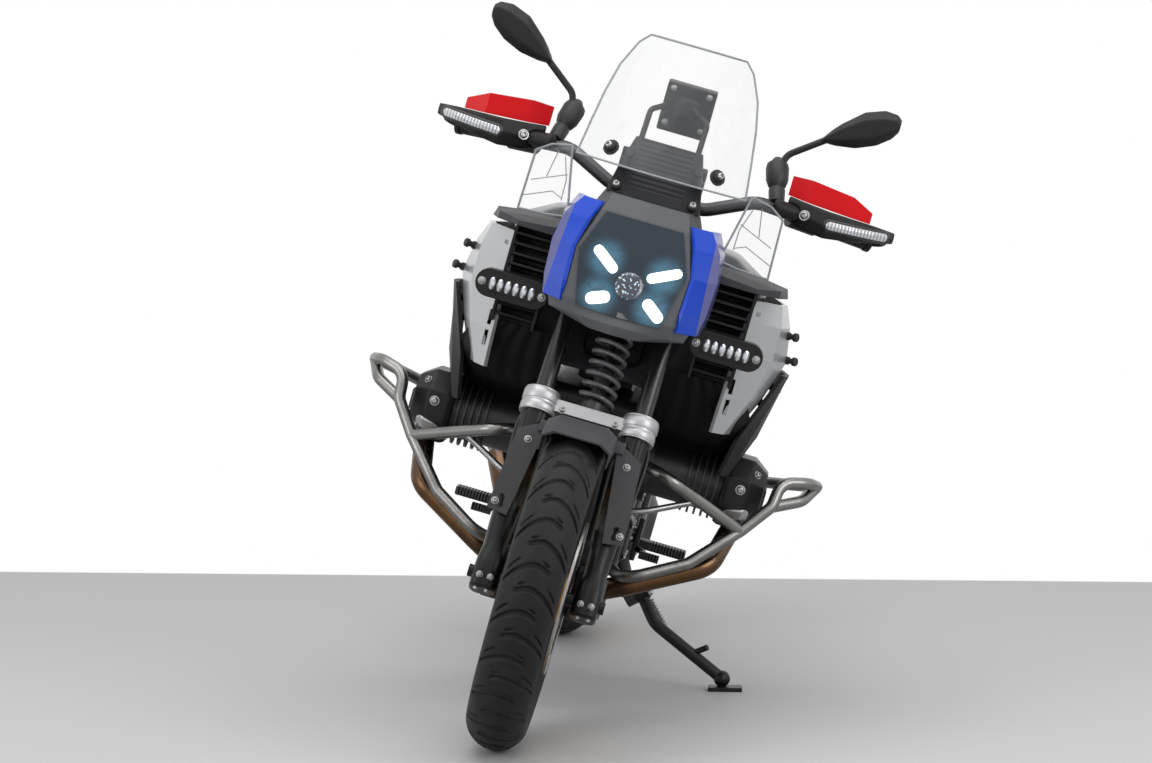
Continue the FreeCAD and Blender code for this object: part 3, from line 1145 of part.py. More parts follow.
top_section_shares = [
    [(0.503, 0, 0), (0.792, 0, 0), (0.792, 0, 0.278), (0.503, 0, 0.5)],
    [(0.503, 0.423, 0), (0.943, 0.423, 0), (0.943, 0.423, 0.444), (0.503, 0.423, 0.833)],
    [(0.629, 1, 0), (1, 1, 0), (0.981, 1, 0.556), (0.629, 1, 1)]]


def side_panels():
    """The silver sides, with two slots low at the front edge and two small vents above."""
    panel = band("side_panel_shell", (0, size.side_front_y, size.side_low_z),
                 (size.side_half_width, size.side_length, size.side_height), silver_levels_shares,
                 size.panel_wall)
    depth = size.panel_wall * 9
    openings = [block(f"panel_slot{n}", size.slot_width, depth, size.slot_height,
                      Vector(size.slot_x, size.side_front_y, size.slot_low_z + size.slot_step * n))
                for n in range(2)]
    openings += [block(f"panel_vent{n}", size.vent_size, depth, size.vent_size,
                       Vector(size.vent_x + size.vent_step * n, size.side_front_y, size.vent_z))
                 for n in range(2)]
    return cut("side_panel_left", panel, openings)


def wing_panels():
    """The black lower panels, each on a peg that reaches the silver side."""
    panel = band("wing_panel_shell", (0, size.wing_front_y, size.wing_low_z),
                 (size.wing_half_width, size.wing_length, size.wing_height), wing_levels_shares,
                 size.panel_wall)
    peg = cylinder("wing_peg", size.wing_peg_radius, size.wing_peg_length,
                   Vector(size.wing_peg_x, size.wing_peg_y, size.wing_peg_z), ACROSS)
    return fuse("wing_panel_left", [panel, peg])


def blue_panels(housing):
    panel = band("blue_panel", (0, size.blue_front_y, size.blue_low_z),
                 (size.blue_half_width, size.blue_length, size.blue_height), blue_levels_shares,
                 size.panel_wall)
    return cut("blue_panel_left", panel, [housing])


def shroud_tops():
    low = (0, size.top_front_y, size.top_low_z)
    span = (size.top_half_width, size.top_length, size.top_height)
    return loft("shroud_top_left", [spread(shares, low, span) for shares in top_section_shares])


# Radiators with louvres, and a stadium-shaped lamp under each.
louvre_count = 9


def radiators():
    """A core in a frame, with louvres across its front."""
    core = block("radiator_core", size.radiator_width, size.radiator_depth, size.radiator_height,
                 Vector(size.radiator_x, size.radiator_y, size.radiator_z))
    front_y = size.radiator_y - size.louvre_ahead
    first_z = size.radiator_z - size.louvre_pitch * (louvre_count - 1) / 2
    slats = [block(f"louvre{n}", size.radiator_width, size.louvre_depth, size.louvre_wall,
                   Vector(size.radiator_x, front_y, first_z + size.louvre_pitch * n),
                   Rotation(ACROSS, -float(size.louvre_tilt_angle)))
             for n in range(louvre_count)]
    edge = size.radiator_width / 2 - size.louvre_frame_wall / 2
    sides = [block(f"louvre_side{sign + 1}", size.louvre_frame_wall, size.louvre_ahead, size.radiator_height,
                   Vector(size.radiator_x + edge * sign, front_y, size.radiator_z)) for sign in (-1, 1)]
    return fuse("radiator_left", [core] + slats + sides)


def aux_lamps():
    tall = size.aux_lamp_height / 2
    body = block("aux_body", size.aux_lamp_width - size.aux_lamp_height, size.aux_lamp_depth,
                 size.aux_lamp_height,
                 Vector(size.aux_lamp_x, size.aux_lamp_back_y - size.aux_lamp_depth / 2, size.aux_lamp_z))
    end = size.aux_lamp_width / 2 - tall
    ends = [cylinder(f"aux_end{sign + 1}", tall, size.aux_lamp_depth,
                     Vector(size.aux_lamp_x + end * sign, size.aux_lamp_back_y, size.aux_lamp_z), AHEAD)
            for sign in (-1, 1)]
    return fuse("aux_lamp_left", [body] + ends)


# Headlamp: level rows of (height, back across and along, front across and along, middle along).
lamp_level_shares = [(0, 0.387, 0.261, 0.307, 0.131, 0.02), (0.071, 0.933, 0.392, 0.667, 0.196, 0),
                     (0.176, 1, 0.462, 0.747, 0.196, 0.07), (0.551, 0.933, 0.709, 0.787, 0.347, 0.271),
                     (0.869, 0.773, 0.92, 0.6, 0.523, 0.472), (1, 0.667, 1, 0.533, 0.673, 0.613)]
glass_shares = [(-0.721, 1), (0.721, 1), (1, 0.568), (0.775, 0), (-0.775, 0), (-1, 0.568)]
light_shares = [(1, 1, 0.528, 0.646), (0.972, 0, 0.556, 0.208)]


def headlamp():
    """A faceted housing with a lip below, glass over it, and four light bars round a projector."""
    half = size.lamp_half_width
    y0 = size.lamp_front_y
    depth = size.lamp_depth
    sections = []
    for height_share, back_x, back_y, front_x, front_y, middle_y in lamp_level_shares:
        z = size.lamp_low_z + size.lamp_height * height_share
        right = [(front_x, front_y), (back_x, back_y)]
        left = [(-back_x, back_y), (-front_x, front_y)]
        sections.append([Vector(half * u, y0 + depth * v, z) for u, v in left + [(0, middle_y)] + right])
    housing = loft("lamp_housing", sections)
    ahead_y = size.lamp_prism_y
    push = REAR * size.lamp_prism_length
    corners = spread_flat(glass_shares, (0, size.glass_low_z), (size.glass_half_width, size.glass_height))
    window = slab("glass_prism", [Vector(x, ahead_y, z) for x, z in corners], push)
    ahead = moved_copy("housing_ahead", housing, AHEAD * size.lens_wall)
    lens = cut("lens_shell", common("lens_blank", [window, ahead]), [housing])
    prisms = []
    for n, (u, w, u2, w2) in enumerate(light_shares):
        ends = spread_flat([(u, w), (u2, w2)], (0, size.light_low_z),
                           (size.light_half_width, size.light_height))
        start, stop = [Vector(x, ahead_y, z) for x, z in ends]
        along = stop - start
        along.normalize()
        wide = Vector(-along.z, 0, along.x) * size.light_bar_half
        prism = slab(f"bar_prism{n}", [start - wide, stop - wide, stop + wide, start + wide], push)
        prisms += both_sides(prism)
    prisms.append(cylinder("projector_prism", size.projector_radius, size.lamp_prism_length,
                           Vector(0, ahead_y, size.projector_z), REAR))
    deep = moved_copy("housing_deep", housing, REAR * size.light_depth)
    bars = [cut(f"light_bar{n}", common(f"light_blank{n}", [prism, housing]), [deep])
            for n, prism in enumerate(prisms)]
    sub_part("headlamp_housing", [cut("housing_recessed", housing, bars)])
    sub_part("headlamp_glass", [lens])
    sub_part("light_bars", bars)
    return housing


# Screen rows: height, middle along, half width and edge along. Instrument rows: height, half width,
# front and back along.
screen_shares = [(0, 0, 1, 0.494), (0.24, 0.195, 0.955, 0.655), (0.498, 0.402, 0.899, 0.805),
                 (0.727, 0.586, 0.82, 0.92), (0.923, 0.747, 0.685, 0.989), (1, 0.805, 0.573, 1)]
screen_across_shares = [-1, -0.8, -0.45, 0, 0.45, 0.8, 1]
clear_side_shares = [(0.283, 1), (0.679, 0.94), (0.962, 0.805), (1, 0), (0.42, 0.03), (0, 0.078)]
clear_side_slope_share = 0.5
shroud_shares = [(0, 1, 0, 0.333), (0.583, 0.857, 0.333, 0.756), (1, 0.714, 0.6, 1)]
hoop_across_share = 0.4


def screen_loft(name, start, wall):
    """The screen's curved sheet, from a start ahead of or behind its front face."""
    sections = []
    for height_share, middle_share, half_share, edge_share in screen_shares:
        z = size.screen_low_z + size.screen_height * height_share
        half = size.screen_half_width * half_share
        front = [Vector(half * u, size.screen_front_y + start + size.screen_sweep
                        * (middle_share + (edge_share - middle_share) * u * u), z)
                 for u in screen_across_shares]
        sections.append(front + [point + REAR * wall for point in reversed(front)])
    return loft(name, sections)


def windscreen():
    """A clear screen, curved across and leaning back, with a clear deflector on each side."""
    screen = screen_loft("screen", 0, size.screen_wall)
    corners = spread_flat(clear_side_shares, (size.clear_side_x, size.clear_side_low_z),
                          (size.clear_side_width, size.clear_side_height))
    side = slab("side_deflector", [Vector(x, size.clear_side_y + clear_side_slope_share * x, z)
                                   for x, z in corners], REAR * size.screen_wall)
    return screen, side


def instruments(screen, housing):
    """A shroud over the lamp housing with four screen mounts and the display, and a holder on a hoop."""
    sections = []
    for height_share, half_share, front_share, back_share in shroud_shares:
        z = size.shroud_low_z + size.shroud_height * height_share
        half = size.shroud_half_width * half_share
        front = size.shroud_front_y + size.shroud_depth * front_share
        back = size.shroud_front_y + size.shroud_depth * back_share
        sections.append([Vector(-half, front, z), Vector(half, front, z), Vector(half, back, z),
                         Vector(-half, back, z)])
    shroud = loft("shroud_body", sections)
    places = [(size.upper_mount_x, size.upper_mount_z, size.upper_mount_reach),
              (size.lower_mount_x, size.lower_mount_z, size.lower_mount_reach)]
    mounts = [cylinder(f"screen_mount{n}", size.screen_mount_radius, reach,
                       Vector(x, size.screen_mount_y, z), AHEAD) for n, (x, z, reach) in enumerate(places)]
    display = block("display", size.display_width, size.display_wall, size.display_height,
                    Vector(0, size.display_y, size.display_z),
                    Rotation(ACROSS, -float(size.display_tilt_angle)), size.display_edge)
    room = screen_loft("room_ahead_of_screen", -size.overrun * 2, size.overrun * 2)
    joined = fuse("instrument_joined", [shroud, display] + mounts + [mirrored(mount) for mount in mounts])
    body = cut("instrument_body", joined, [screen, room, housing])
    sub_part("instrument_shroud", [body])
    foot = Vector(size.hoop_x, size.hoop_foot_y, size.hoop_foot_z)
    bend = foot + Vector(0, size.hoop_run * 0.52, size.hoop_rise * 0.74)
    tip = Vector(size.hoop_x * hoop_across_share, size.hoop_foot_y + size.hoop_run,
                 size.hoop_foot_z + size.hoop_rise)
    hoop = tube("holder_hoop", [foot, bend, tip], size.hoop_radius, size.hoop_bend)
    holder = block("holder_body", size.holder_width, size.holder_wall, size.holder_width,
                   Vector(size.holder_x, size.holder_y, size.holder_z),
                   Rotation(ACROSS, float(size.holder_tilt_angle)), size.holder_edge)
    sub_part("nav_holder", [cut("nav_seated", fuse("nav_joined", both_sides(hoop) + [holder]), [body])])


# Tail: rack on legs, the shell under it, the plate carrier, the lamp and the indicators.
handle_shares = [(0, 0, 0.2), (0.97, -0.09, -0.3), (1, 0.63, 0.2), (0, 1, 0.45)]
shell_shares = [(0, 0.966, 0, 0.816), (0.24, 1, 0.097, 0.951), (0.713, 0.95, 0.272, 1),
                (1, 0.88, 0.466, 0.903)]
shell_top_share = 0.8
carrier_shares = [(1, 0, 0.931, 0.354, 1), (0.743, 0.458, 0.534, 0.583, 0.573), (0.629, 0.917, 0, 1, 0.031)]


def tail(rails, seat_end):
    start = size.rack_front_y
    half = size.rack_width / 2
    top = size.rack_top_z
    middle = start + size.rack_length / 2
    away = size.rack_hole_circle / 2 * math.sqrt(0.5)
    holes = [((sx * away, middle + sy * away), size.rack_hole_radius) for sx in (-1, 1) for sy in (-1, 1)]
    slot_start = start + size.rack_slot_start
    slot_end = slot_start + size.rack_slot_length
    slots = []
    for sign in (-1, 1):
        left = sign * size.rack_slot_x - size.rack_slot_width / 2
        right = sign * size.rack_slot_x + size.rack_slot_width / 2
        slots.append([(left, slot_start), (right, slot_start), (right, slot_end), (left, slot_end)])
    end = start + size.rack_length
    border = [(-half, start), (half, start), (half * 0.86, end), (-half * 0.86, end)]
    plate = padded("rack_plate", "XY_Plane", [border] + slots, holes, size.rack_wall,
                   Placement(UP * (top - size.rack_wall / 2), Rotation()))
    legs = [cylinder(f"rack_leg{n}", size.rack_leg_radius, top - size.rack_wall / 2 - z,
                     Vector(size.rail_x, y, z), UP)
            for n, (y, z) in enumerate([(size.rack_leg_front_y, size.rack_leg_front_z),
                                        (size.rack_leg_rear_y, size.rack_leg_rear_z)])]
    grip_low = (size.handle_inner_x, start + size.handle_start, top - size.handle_drop)
    grip_span = (size.handle_outer_x - size.handle_inner_x, size.handle_length, size.handle_drop)
    handle = tube("grab_handle", spread(handle_shares, grip_low, grip_span), size.handle_radius,
                  size.handle_bend)
    rack_body = fuse("rack_joined", [plate] + both_sides(handle) + legs + [mirrored(leg) for leg in legs])
    rack = cut("rack_seated", rack_body, [rails])
    sub_part("luggage_rack", [rack])

    shell_start = seat_end + size.tail_play
    sections = []
    for along_share, wide_share, low_share, high_share in shell_shares:
        y = shell_start + size.tail_length * along_share
        w = size.tail_half_width * wide_share
        low = size.tail_low_z + size.tail_height * low_share
        high = size.tail_low_z + size.tail_height * high_share
        sections.append([Vector(-w, y, low), Vector(w, y, low), Vector(w * shell_top_share, y, high),
                         Vector(-w * shell_top_share, y, high)])
    shell = loft("tail_shell", sections)
    sections = []
    for wide_share, front_share, front_z_share, back_share, back_z_share in carrier_shares:
        w = size.carrier_half_width * wide_share
        front_y = size.carrier_y + size.carrier_length * front_share
        back_y = size.carrier_y + size.carrier_length * back_share
        front_z = size.carrier_low_z + size.carrier_height * front_z_share
        back_z = size.carrier_low_z + size.carrier_height * back_z_share
        sections.append([Vector(-w, front_y, front_z), Vector(w, front_y, front_z), Vector(w, back_y, back_z),
                         Vector(-w, back_y, back_z)])
    carrier = loft("plate_carrier", sections)
    board = block("plate_board", size.plate_width, size.plate_wall, size.plate_height,
                  Vector(0, size.plate_y, size.plate_z), Rotation(ACROSS, float(size.plate_tilt_angle)))
    stalk = cylinder("indicator_stalk", size.stalk_radius, size.stalk_half * 2,
                     Vector(-size.stalk_half, size.stalk_y, size.stalk_z), ACROSS)
    body = cut("tail_seated", fuse("tail_joined", [shell, carrier, board, stalk]), [rails, rack])
    sub_part("tail_unit", [body])
    lamp = block("tail_lamp", size.tail_lamp_width, size.tail_lamp_wall, size.tail_lamp_height,
                 Vector(0, size.tail_lamp_y, size.tail_lamp_z), Rotation(), size.tail_lamp_edge)
    blinker = block("indicator_left", size.indicator_length, size.indicator_size, size.indicator_size,
                    Vector(size.stalk_half + size.indicator_length / 2 - size.bite * 2, size.stalk_y,
                           size.stalk_z), Rotation(), size.indicator_edge)
    sub_part("tail_lamps", [cut("tail_lamp_seated", lamp, [body])]
             + both_sides(cut("indicator_seated", blinker, [body])))


# Front arm on the ball pin, and a spring strut at each end.
coil_count = 8


def strut(name, foot, top, seated_in):
    """A damper with its coil spring as one turned profile."""
    line = top - foot
    length = line.Length
    rod = size.strut_radius
    coil = size.coil_radius
    cup = coil + size.strut_cup_wall
    groove = coil - size.coil_wire * 1.5
    start = length * 0.14
    pitch = length * 0.72 / coil_count
    profile = [(0, 0), (0, rod), (start - size.strut_cup_length, rod), (start - size.strut_cup_length, cup),
               (start, cup)]
    for n in range(coil_count):
        base = start + pitch * n
        profile += [(base + pitch * 0.25, groove), (base + pitch * 0.36, coil), (base + pitch * 0.64, coil),
                    (base + pitch * 0.75, groove)]
    end = start + pitch * coil_count
    profile += [(end, cup), (end + size.strut_cup_length, cup), (end + size.strut_cup_length, rod),
                (length, rod), (length, 0)]
    made = turned(name + "_turned", profile, foot)
    made.Placement = Placement(foot, Rotation(ACROSS, line))
    return cut(name, made, seated_in)


def front_arm_and_struts(crankcase, frame, rails, rear_arm):
    middle_up = ball_eye_up + size.ball_eye_length / 2
    eye = cylinder("ball_eye", size.ball_eye_radius, size.ball_eye_length, on_fork(0, 0, ball_eye_up),
                   fork_up)
    bore = cylinder("ball_bore", size.ball_pin_radius + size.pin_play,
                    size.ball_eye_length + size.overrun * 2,
                    on_fork(0, 0, ball_eye_up - size.overrun), fork_up)
    limb = tube("arm_limb", [
        on_fork(size.limb_start_x, size.limb_start_back, middle_up),
        on_fork(size.limb_mid_x, size.limb_mid_back, middle_up - size.bite),
        Vector(size.limb_end_x, size.engine_front_y + size.limb_bite, size.limb_end_z)],
        size.limb_radius, size.limb_bend)
    cross = block("arm_cross", size.arm_cross_width, size.arm_cross_length, size.arm_cross_wall,
                  on_fork(0, size.arm_cross_back, middle_up - size.bite), fork_turn)
    joined = fuse("arm_joined", [eye, limb, mirrored(limb), cross])
    arm = cut("arm_seated", joined, [bore, crankcase])
    sub_part("front_arm", [arm])
    foot = on_fork(0, size.strut_foot_back, middle_up + size.arm_cross_wall / 2 - size.bite * 2)
    front = strut("front_strut", foot, Vector(0, size.strut_top_y, size.strut_top_z), [arm, frame])
    rear = strut("rear_strut", Vector(0, size.rear_strut_foot_y, size.rear_strut_foot_z),
                 Vector(0, size.rear_strut_top_y, size.rear_strut_top_z), [rear_arm, rails])
    sub_part("struts", [front, rear])


# Footrests: plates on bosses of the case, with pegs and pedals, and the lug of the side stand.
def foot_controls(crankcase, rails):
    side = size.engine_width / 2
    outer = side + size.rest_stand_off + size.rest_plate_wall
    rest = Vector(0, size.peg_y, size.peg_z)
    plate = block("rest_plate", size.rest_plate_wall, size.rest_plate_length, size.rest_plate_height,
                  rest + Vector(outer - size.rest_plate_wall / 2, 0, size.rest_plate_wall), Rotation(),
                  size.rest_plate_edge)
    spread_half = size.rest_plate_length / 2 - size.rest_boss_radius * 1.5
    bosses = [cylinder(f"rest_boss{sign + 1}", size.rest_boss_radius, size.rest_stand_off + size.bite * 2,
                       rest + Vector(side - size.bite, spread_half * sign, size.rest_plate_wall), ACROSS)
              for sign in (-1, 1)]
    peg = block("rest_peg", size.peg_length, size.peg_width, size.peg_wall,
                rest + ACROSS * (outer - size.bite + size.peg_length / 2), Rotation(), size.peg_edge)
    pedal_root = rest + Vector(outer - size.bite, -size.peg_width, -size.pedal_drop)
    toe_at = rest + Vector(outer + size.pedal_out / 2, -size.pedal_ahead, -size.pedal_drop / 2)
    pedal = tube("pedal", [pedal_root, pedal_root + Vector(size.pedal_out / 2, -size.pedal_out, 0), toe_at],
                 size.pedal_radius, size.pedal_bend)
    toe = cylinder("pedal_toe", size.toe_radius, size.toe_length, toe_at - ACROSS * size.toe_radius, ACROSS)
    rest_set = [plate, peg, pedal, toe] + bosses
    right = cut("rest_right", mirrored(fuse("rest_right_source", rest_set)), [crankcase])
    inner = stand_pivot - stand_axis * (size.stand_eye_wall / 2 + size.pin_play)
    lug = cylinder("stand_lug", size.stand_eye_radius, size.stand_lug_length,
                   inner - stand_axis * size.stand_lug_length, stand_axis)
    pin = cylinder("stand_pin", size.stand_pin_radius, size.stand_eye_wall + size.stand_pin_end + size.bite,
                   inner - stand_axis * size.bite, stand_axis)
    root = Vector(side - size.stand_arm_in, size.stand_pivot_y, size.engine_bottom_z + size.stand_arm_up)
    arm = tube("stand_arm", [inner - stand_axis * (size.stand_lug_length / 2), root], size.stand_arm_radius,
               size.stand_arm_radius)
    room = cylinder("stand_room", size.stand_eye_radius * 2, size.stand_eye_wall * 2, inner, stand_axis)
    arm_cut = cut("stand_root", arm, [room])
    left = cut("rest_left", fuse("rest_joined", rest_set + [lug, pin, arm_cut]), [crankcase])
    hook = Vector(size.rail_x, size.rear_peg_y, size.rear_peg_z)
    rear_peg = fuse("rear_rest_joined", [
        block("rear_peg", size.rear_peg_length, size.rear_peg_width, size.rear_peg_wall,
              hook + ACROSS * (size.rear_peg_root + size.rear_peg_length / 2), Rotation(),
              size.rest_plate_edge),
        cylinder("rear_peg_root", size.rear_peg_root_radius, size.rear_peg_root + size.overrun, hook,
                 ACROSS)])
    rear_left = cut("rear_rest_left", rear_peg, [rails])
    sub_part("foot_controls", [left, right] + both_sides(rear_left))


# Front fender: a narrow arch over the tyre, with long slotted plates down ahead of the sliders.
def front_fender(sliders):
    inner = size.front_tyre_radius + size.fender_play
    wall = size.fender_wall
    half = size.fender_half_width
    flank = inner - size.fender_flank
    drop = inner - size.fender_shoulder_drop
    shoulder = half - size.fender_shoulder
    right = [(shoulder, inner), (half, drop), (half, flank), (half + wall, flank), (half + wall, drop + wall),
             (shoulder + wall, inner + wall)]
    left = [(-u, w) for u, w in reversed(right)]
    body = doc.addObject("PartDesign::Body", "fender_arch")
    sketch = sketch_on(body, "XY_Plane", "fender_section")
    outline(sketch, right + left)
    sweep = revolved(body, sketch, "fender_sweep")
    bind(sweep, Angle=size.fender_sweep_angle)
    body.Placement = Placement(front_axle, Rotation(ACROSS, float(size.fender_rear_angle)))
    back = -size.axle_lead - size.slider_foot_radius - size.fender_plate_play
    front = back - size.fender_plate_wall
    low = size.fender_plate_low
    top = size.fender_plate_top
    corners = [(size.fender_plate_in, low), (size.fender_plate_out, low + size.moving_play)]
    crown = [(size.fender_plate_top_in, top), (size.fender_plate_top_out, top - size.fender_plate_top_drop)]
    plate = loft("fender_plate", [
        [on_fork(corners[0][0], front, corners[0][1]), on_fork(corners[1][0], front, corners[1][1]),
         on_fork(corners[1][0], back, corners[1][1]), on_fork(corners[0][0], back, corners[0][1])],
        [on_fork(crown[0][0], front, crown[0][1]), on_fork(crown[1][0], front, crown[1][1]),
         on_fork(crown[1][0], back, crown[1][1]), on_fork(crown[0][0], back, crown[0][1])]])
    ends = [size.fender_slot_up, size.fender_slot_up + size.fender_slot_length]
    start = back - size.overrun
    slot_ends = [cylinder(f"fender_slot_end{n}", size.fender_slot_radius, size.overrun * 2,
                          on_fork(size.fender_slot_x, start, up), fork_back) for n, up in enumerate(ends)]
    slot = block("fender_slot", size.fender_slot_radius * 2, size.overrun * 2, size.fender_slot_length,
                 on_fork(size.fender_slot_x, back, (ends[0] + ends[1]) / 2), fork_turn)
    opened = cut("fender_plate_slotted", plate, slot_ends + [slot])
    link = block("fender_link", size.fender_link_width, size.fender_link_length, size.fender_link_height,
                 on_fork(size.fender_link_x, back + size.fender_link_length * 0.3, size.fender_link_up),
                 fork_turn, size.fender_link_edge)
    joined = fuse("fender_joined", [body] + both_sides(opened) + both_sides(link))
    sub_part("front_fender", [cut("fender_seated", joined, sliders)])


def calipers(sliders):
    """Calipers straddling the front discs, their lugs on the backs of the sliders."""
    turn = Rotation(ACROSS, size.caliper_turn_angle - size.rake_angle)
    outward = turn.multVec(REAR)
    body = block("caliper_body", size.caliper_width, size.caliper_depth, size.caliper_length,
                 front_axle + ACROSS * size.caliper_centre_x + outward * size.caliper_centre_radius, turn,
                 size.caliper_edge)
    lugs = block("caliper_lugs", size.caliper_lug_width, size.caliper_lug_length, size.caliper_lug_height,
                 front_axle + ACROSS * size.caliper_lug_x + outward * size.caliper_lug_radius, turn)
    slot = cylinder("caliper_slot", size.front_disc_radius + size.moving_play,
                    size.disc_wall + size.disc_play * 2,
                    front_axle + ACROSS * (size.front_hub_half - size.disc_play), ACROSS)
    left = cut("caliper_left", fuse("caliper_joined", [body, lugs]), [slot] + sliders)
    sub_part("brake_calipers", both_sides(left))


# Hand guards with taller deflectors, and mirrors. Guard rows: across, along, low and high edges.
guard_shares = [(0, 0.425, 0.292, 1), (0.164, 0.225, 0.077, 0.938), (0.379, 0, 0, 0.877),
                (0.595, 0.025, 0.108, 0.846), (0.81, 0.375, 0.262, 0.815), (1, 1, 0.4, 0.754)]
deflector_shares = [(0, 1, 0.211, 0.963), (0.236, 0.5, 0.138, 1), (0.747, 0, 0.037, 0.817),
                    (1, 0.5, 0, 0.413)]
mirror_shares = [(0, 0, 0.13), (0.1, 0.13, 0.42), (0.197, 0.25, 0.62), (0.469, 0.559, 1),
                 (0.741, 0.794, 0.97),
                 (0.925, 0.941, 0.67), (1, 1, 0.33)]


def hand_guard():
    """A bowed shield, its stay from the bar end and its inner post."""
    wall = size.guard_wall
    sections = []
    for across_share, along_share, low_share, high_share in guard_shares:
        x = size.guard_start_x + size.guard_width * across_share
        y = size.guard_front_y + size.guard_sweep * along_share
        low = size.guard_low_z + size.guard_height * low_share
        high = size.guard_low_z + size.guard_height * high_share
        sections.append([Vector(x, y, low), Vector(x, y - size.guard_nose, (low + high) / 2),
                         Vector(x, y, high), Vector(x, y + wall, high), Vector(x, y + wall, low)])
    shield = loft("guard_shield", sections)
    end = Vector(size.bar_end_x, size.bar_end_y, size.bar_end_z)
    tip = Vector(size.guard_start_x + size.guard_width * 0.93, size.guard_front_y + size.guard_sweep * 0.925,
                 size.guard_low_z + size.guard_height * 0.54)
    stay = tube("guard_stay", [end, end + Vector(size.guard_stay_out, -size.guard_stay_rise,
                                                 size.guard_stay_rise), tip],
                size.guard_stay_radius, size.guard_stay_bend)
    post_foot = Vector(size.guard_post_x, size.guard_front_y + size.guard_sweep * 0.325, size.guard_post_z)
    post = cylinder("guard_post", size.guard_stay_radius, size.guard_post_length, post_foot, REAR)
    return fuse("guard_joined", [shield, stay, post])


def bar_fittings(controls, bar):
    guard = cut("hand_guard_left", hand_guard(), [controls, bar])
    sub_part("hand_guards", both_sides(guard))
    wall = size.deflector_wall
    sections = []
    for across_share, along_share, low_share, high_share in deflector_shares:
        x = size.deflector_start_x + size.deflector_width * across_share
        y = size.deflector_front_y + size.deflector_sweep * along_share
        low = size.deflector_low_z + size.deflector_height * low_share
        high = size.deflector_low_z + size.deflector_height * high_share
        sections.append([Vector(x, y, low), Vector(x, y, high), Vector(x, y + wall, high),
                         Vector(x, y + wall, low)])
    deflector = loft("deflector", sections)
    sub_part("guard_deflectors", both_sides(cut("deflector_seated", deflector, [guard])))

    depth = size.mirror_depth / 2
    sections = []
    for across_share, rise_share, tall_share in mirror_shares:
        centre = Vector(size.mirror_start_x + size.mirror_width * across_share, size.mirror_y,
                        size.mirror_low_z + size.mirror_rise * rise_share)
        tall = size.mirror_height / 2 * tall_share
        sections.append([centre + Vector(0, -depth * 0.3, -tall), centre + Vector(0, -depth, -tall / 2),
                         centre + Vector(0, -depth, tall / 2), centre + Vector(0, -depth * 0.3, tall),
                         centre + Vector(0, depth, tall), centre + Vector(0, depth, -tall)])
    head = loft("mirror_head", sections)
    ball = Vector(size.mirror_ball_x, size.mirror_ball_y, size.mirror_ball_z)
    root = Vector(size.mirror_root_x, size.mirror_root_y, size.mirror_root_z)
    tip = Vector(size.mirror_start_x + size.mirror_width * 0.2, size.mirror_y,
                 size.mirror_low_z + size.mirror_rise * 0.25)
    elbow = Vector(size.mirror_elbow_x, size.mirror_elbow_y, size.mirror_elbow_z)
    neck = ball - Vector(0, size.bite, size.bite)
    stem = tube("mirror_stem", [root, neck, elbow, tip], size.mirror_stem_radius, size.mirror_stem_bend)
    boot = sphere("mirror_boot", size.mirror_ball_radius, ball)
    mirror = cut("mirror_left", fuse("mirror_joined", [head, stem, boot]), [controls, bar])
    sub_part("mirrors", both_sides(mirror))


def write_parts():
    """Lean every sub-part, move the origin under the middle of the whole, and export the solids."""
    doc.recompute()
    tilt = Placement(Vector(), Rotation(REAR, float(size.lean_angle)))
    failed = [o.Name for o in doc.Objects if {"Invalid", "Error"} & set(o.State)]
    if failed:
        raise RuntimeError(f"failed objects: {failed}")
    box = FreeCAD.BoundBox()
    for obj in NODES.values():
        leaning = obj.Shape.copy()
        leaning.Placement = tilt
        box.add(leaning.optimalBoundingBox(False))
    place = Placement(Vector(-box.Center.x, -box.Center.y, -box.ZMin), Rotation()) * tilt
    for obj in NODES.values():
        obj.Placement = place
    doc.recompute()
    os.makedirs("parts", exist_ok=True)
    for node, obj in NODES.items():
        shape = obj.Shape
        if shape.isNull() or not shape.isValid() or not shape.Solids:
            raise RuntimeError(f"{node} has no valid solid")
        solids = shape.Solids
        made = solids[0] if len(solids) == 1 else Part.makeCompound(solids)
        made.exportStep(f"parts/{node}.step")
        print(node, "solids", len(solids), "volume", round(shape.Volume / 1000), "faces", len(shape.Faces))
    return place


def print_datums(place):
    """Joint and mount places, upright and leaning, in millimetres."""
    def show(name, *values):
        print("datum", name, *(round(float(v), 6) for v in values))

    rack_middle = Vector(0, size.rack_front_y + size.rack_length / 2, size.rack_top_z)
    show("shift", *place.Base)
    show("steer_base", *steer_base)
    show("steer_axis", *fork_up)
    show("steer_max", steer_limit_angle)
    show("stand_pivot", *stand_pivot)
    show("stand_axis", *stand_axis)
    show("stand_max", stand_limit_angle)
    for name, point in {"front_axle": front_axle, "rear_axle": rear_axle, "steer_base": steer_base,
                        "stand_pivot": stand_pivot, "rack_middle": rack_middle}.items():
        show("row_" + name, *place.multVec(point))
    for name, direction in {"across": ACROSS, "up": UP, "steer": fork_up, "stand": stand_axis}.items():
        show("row_dir_" + name, *place.Rotation.multVec(direction))


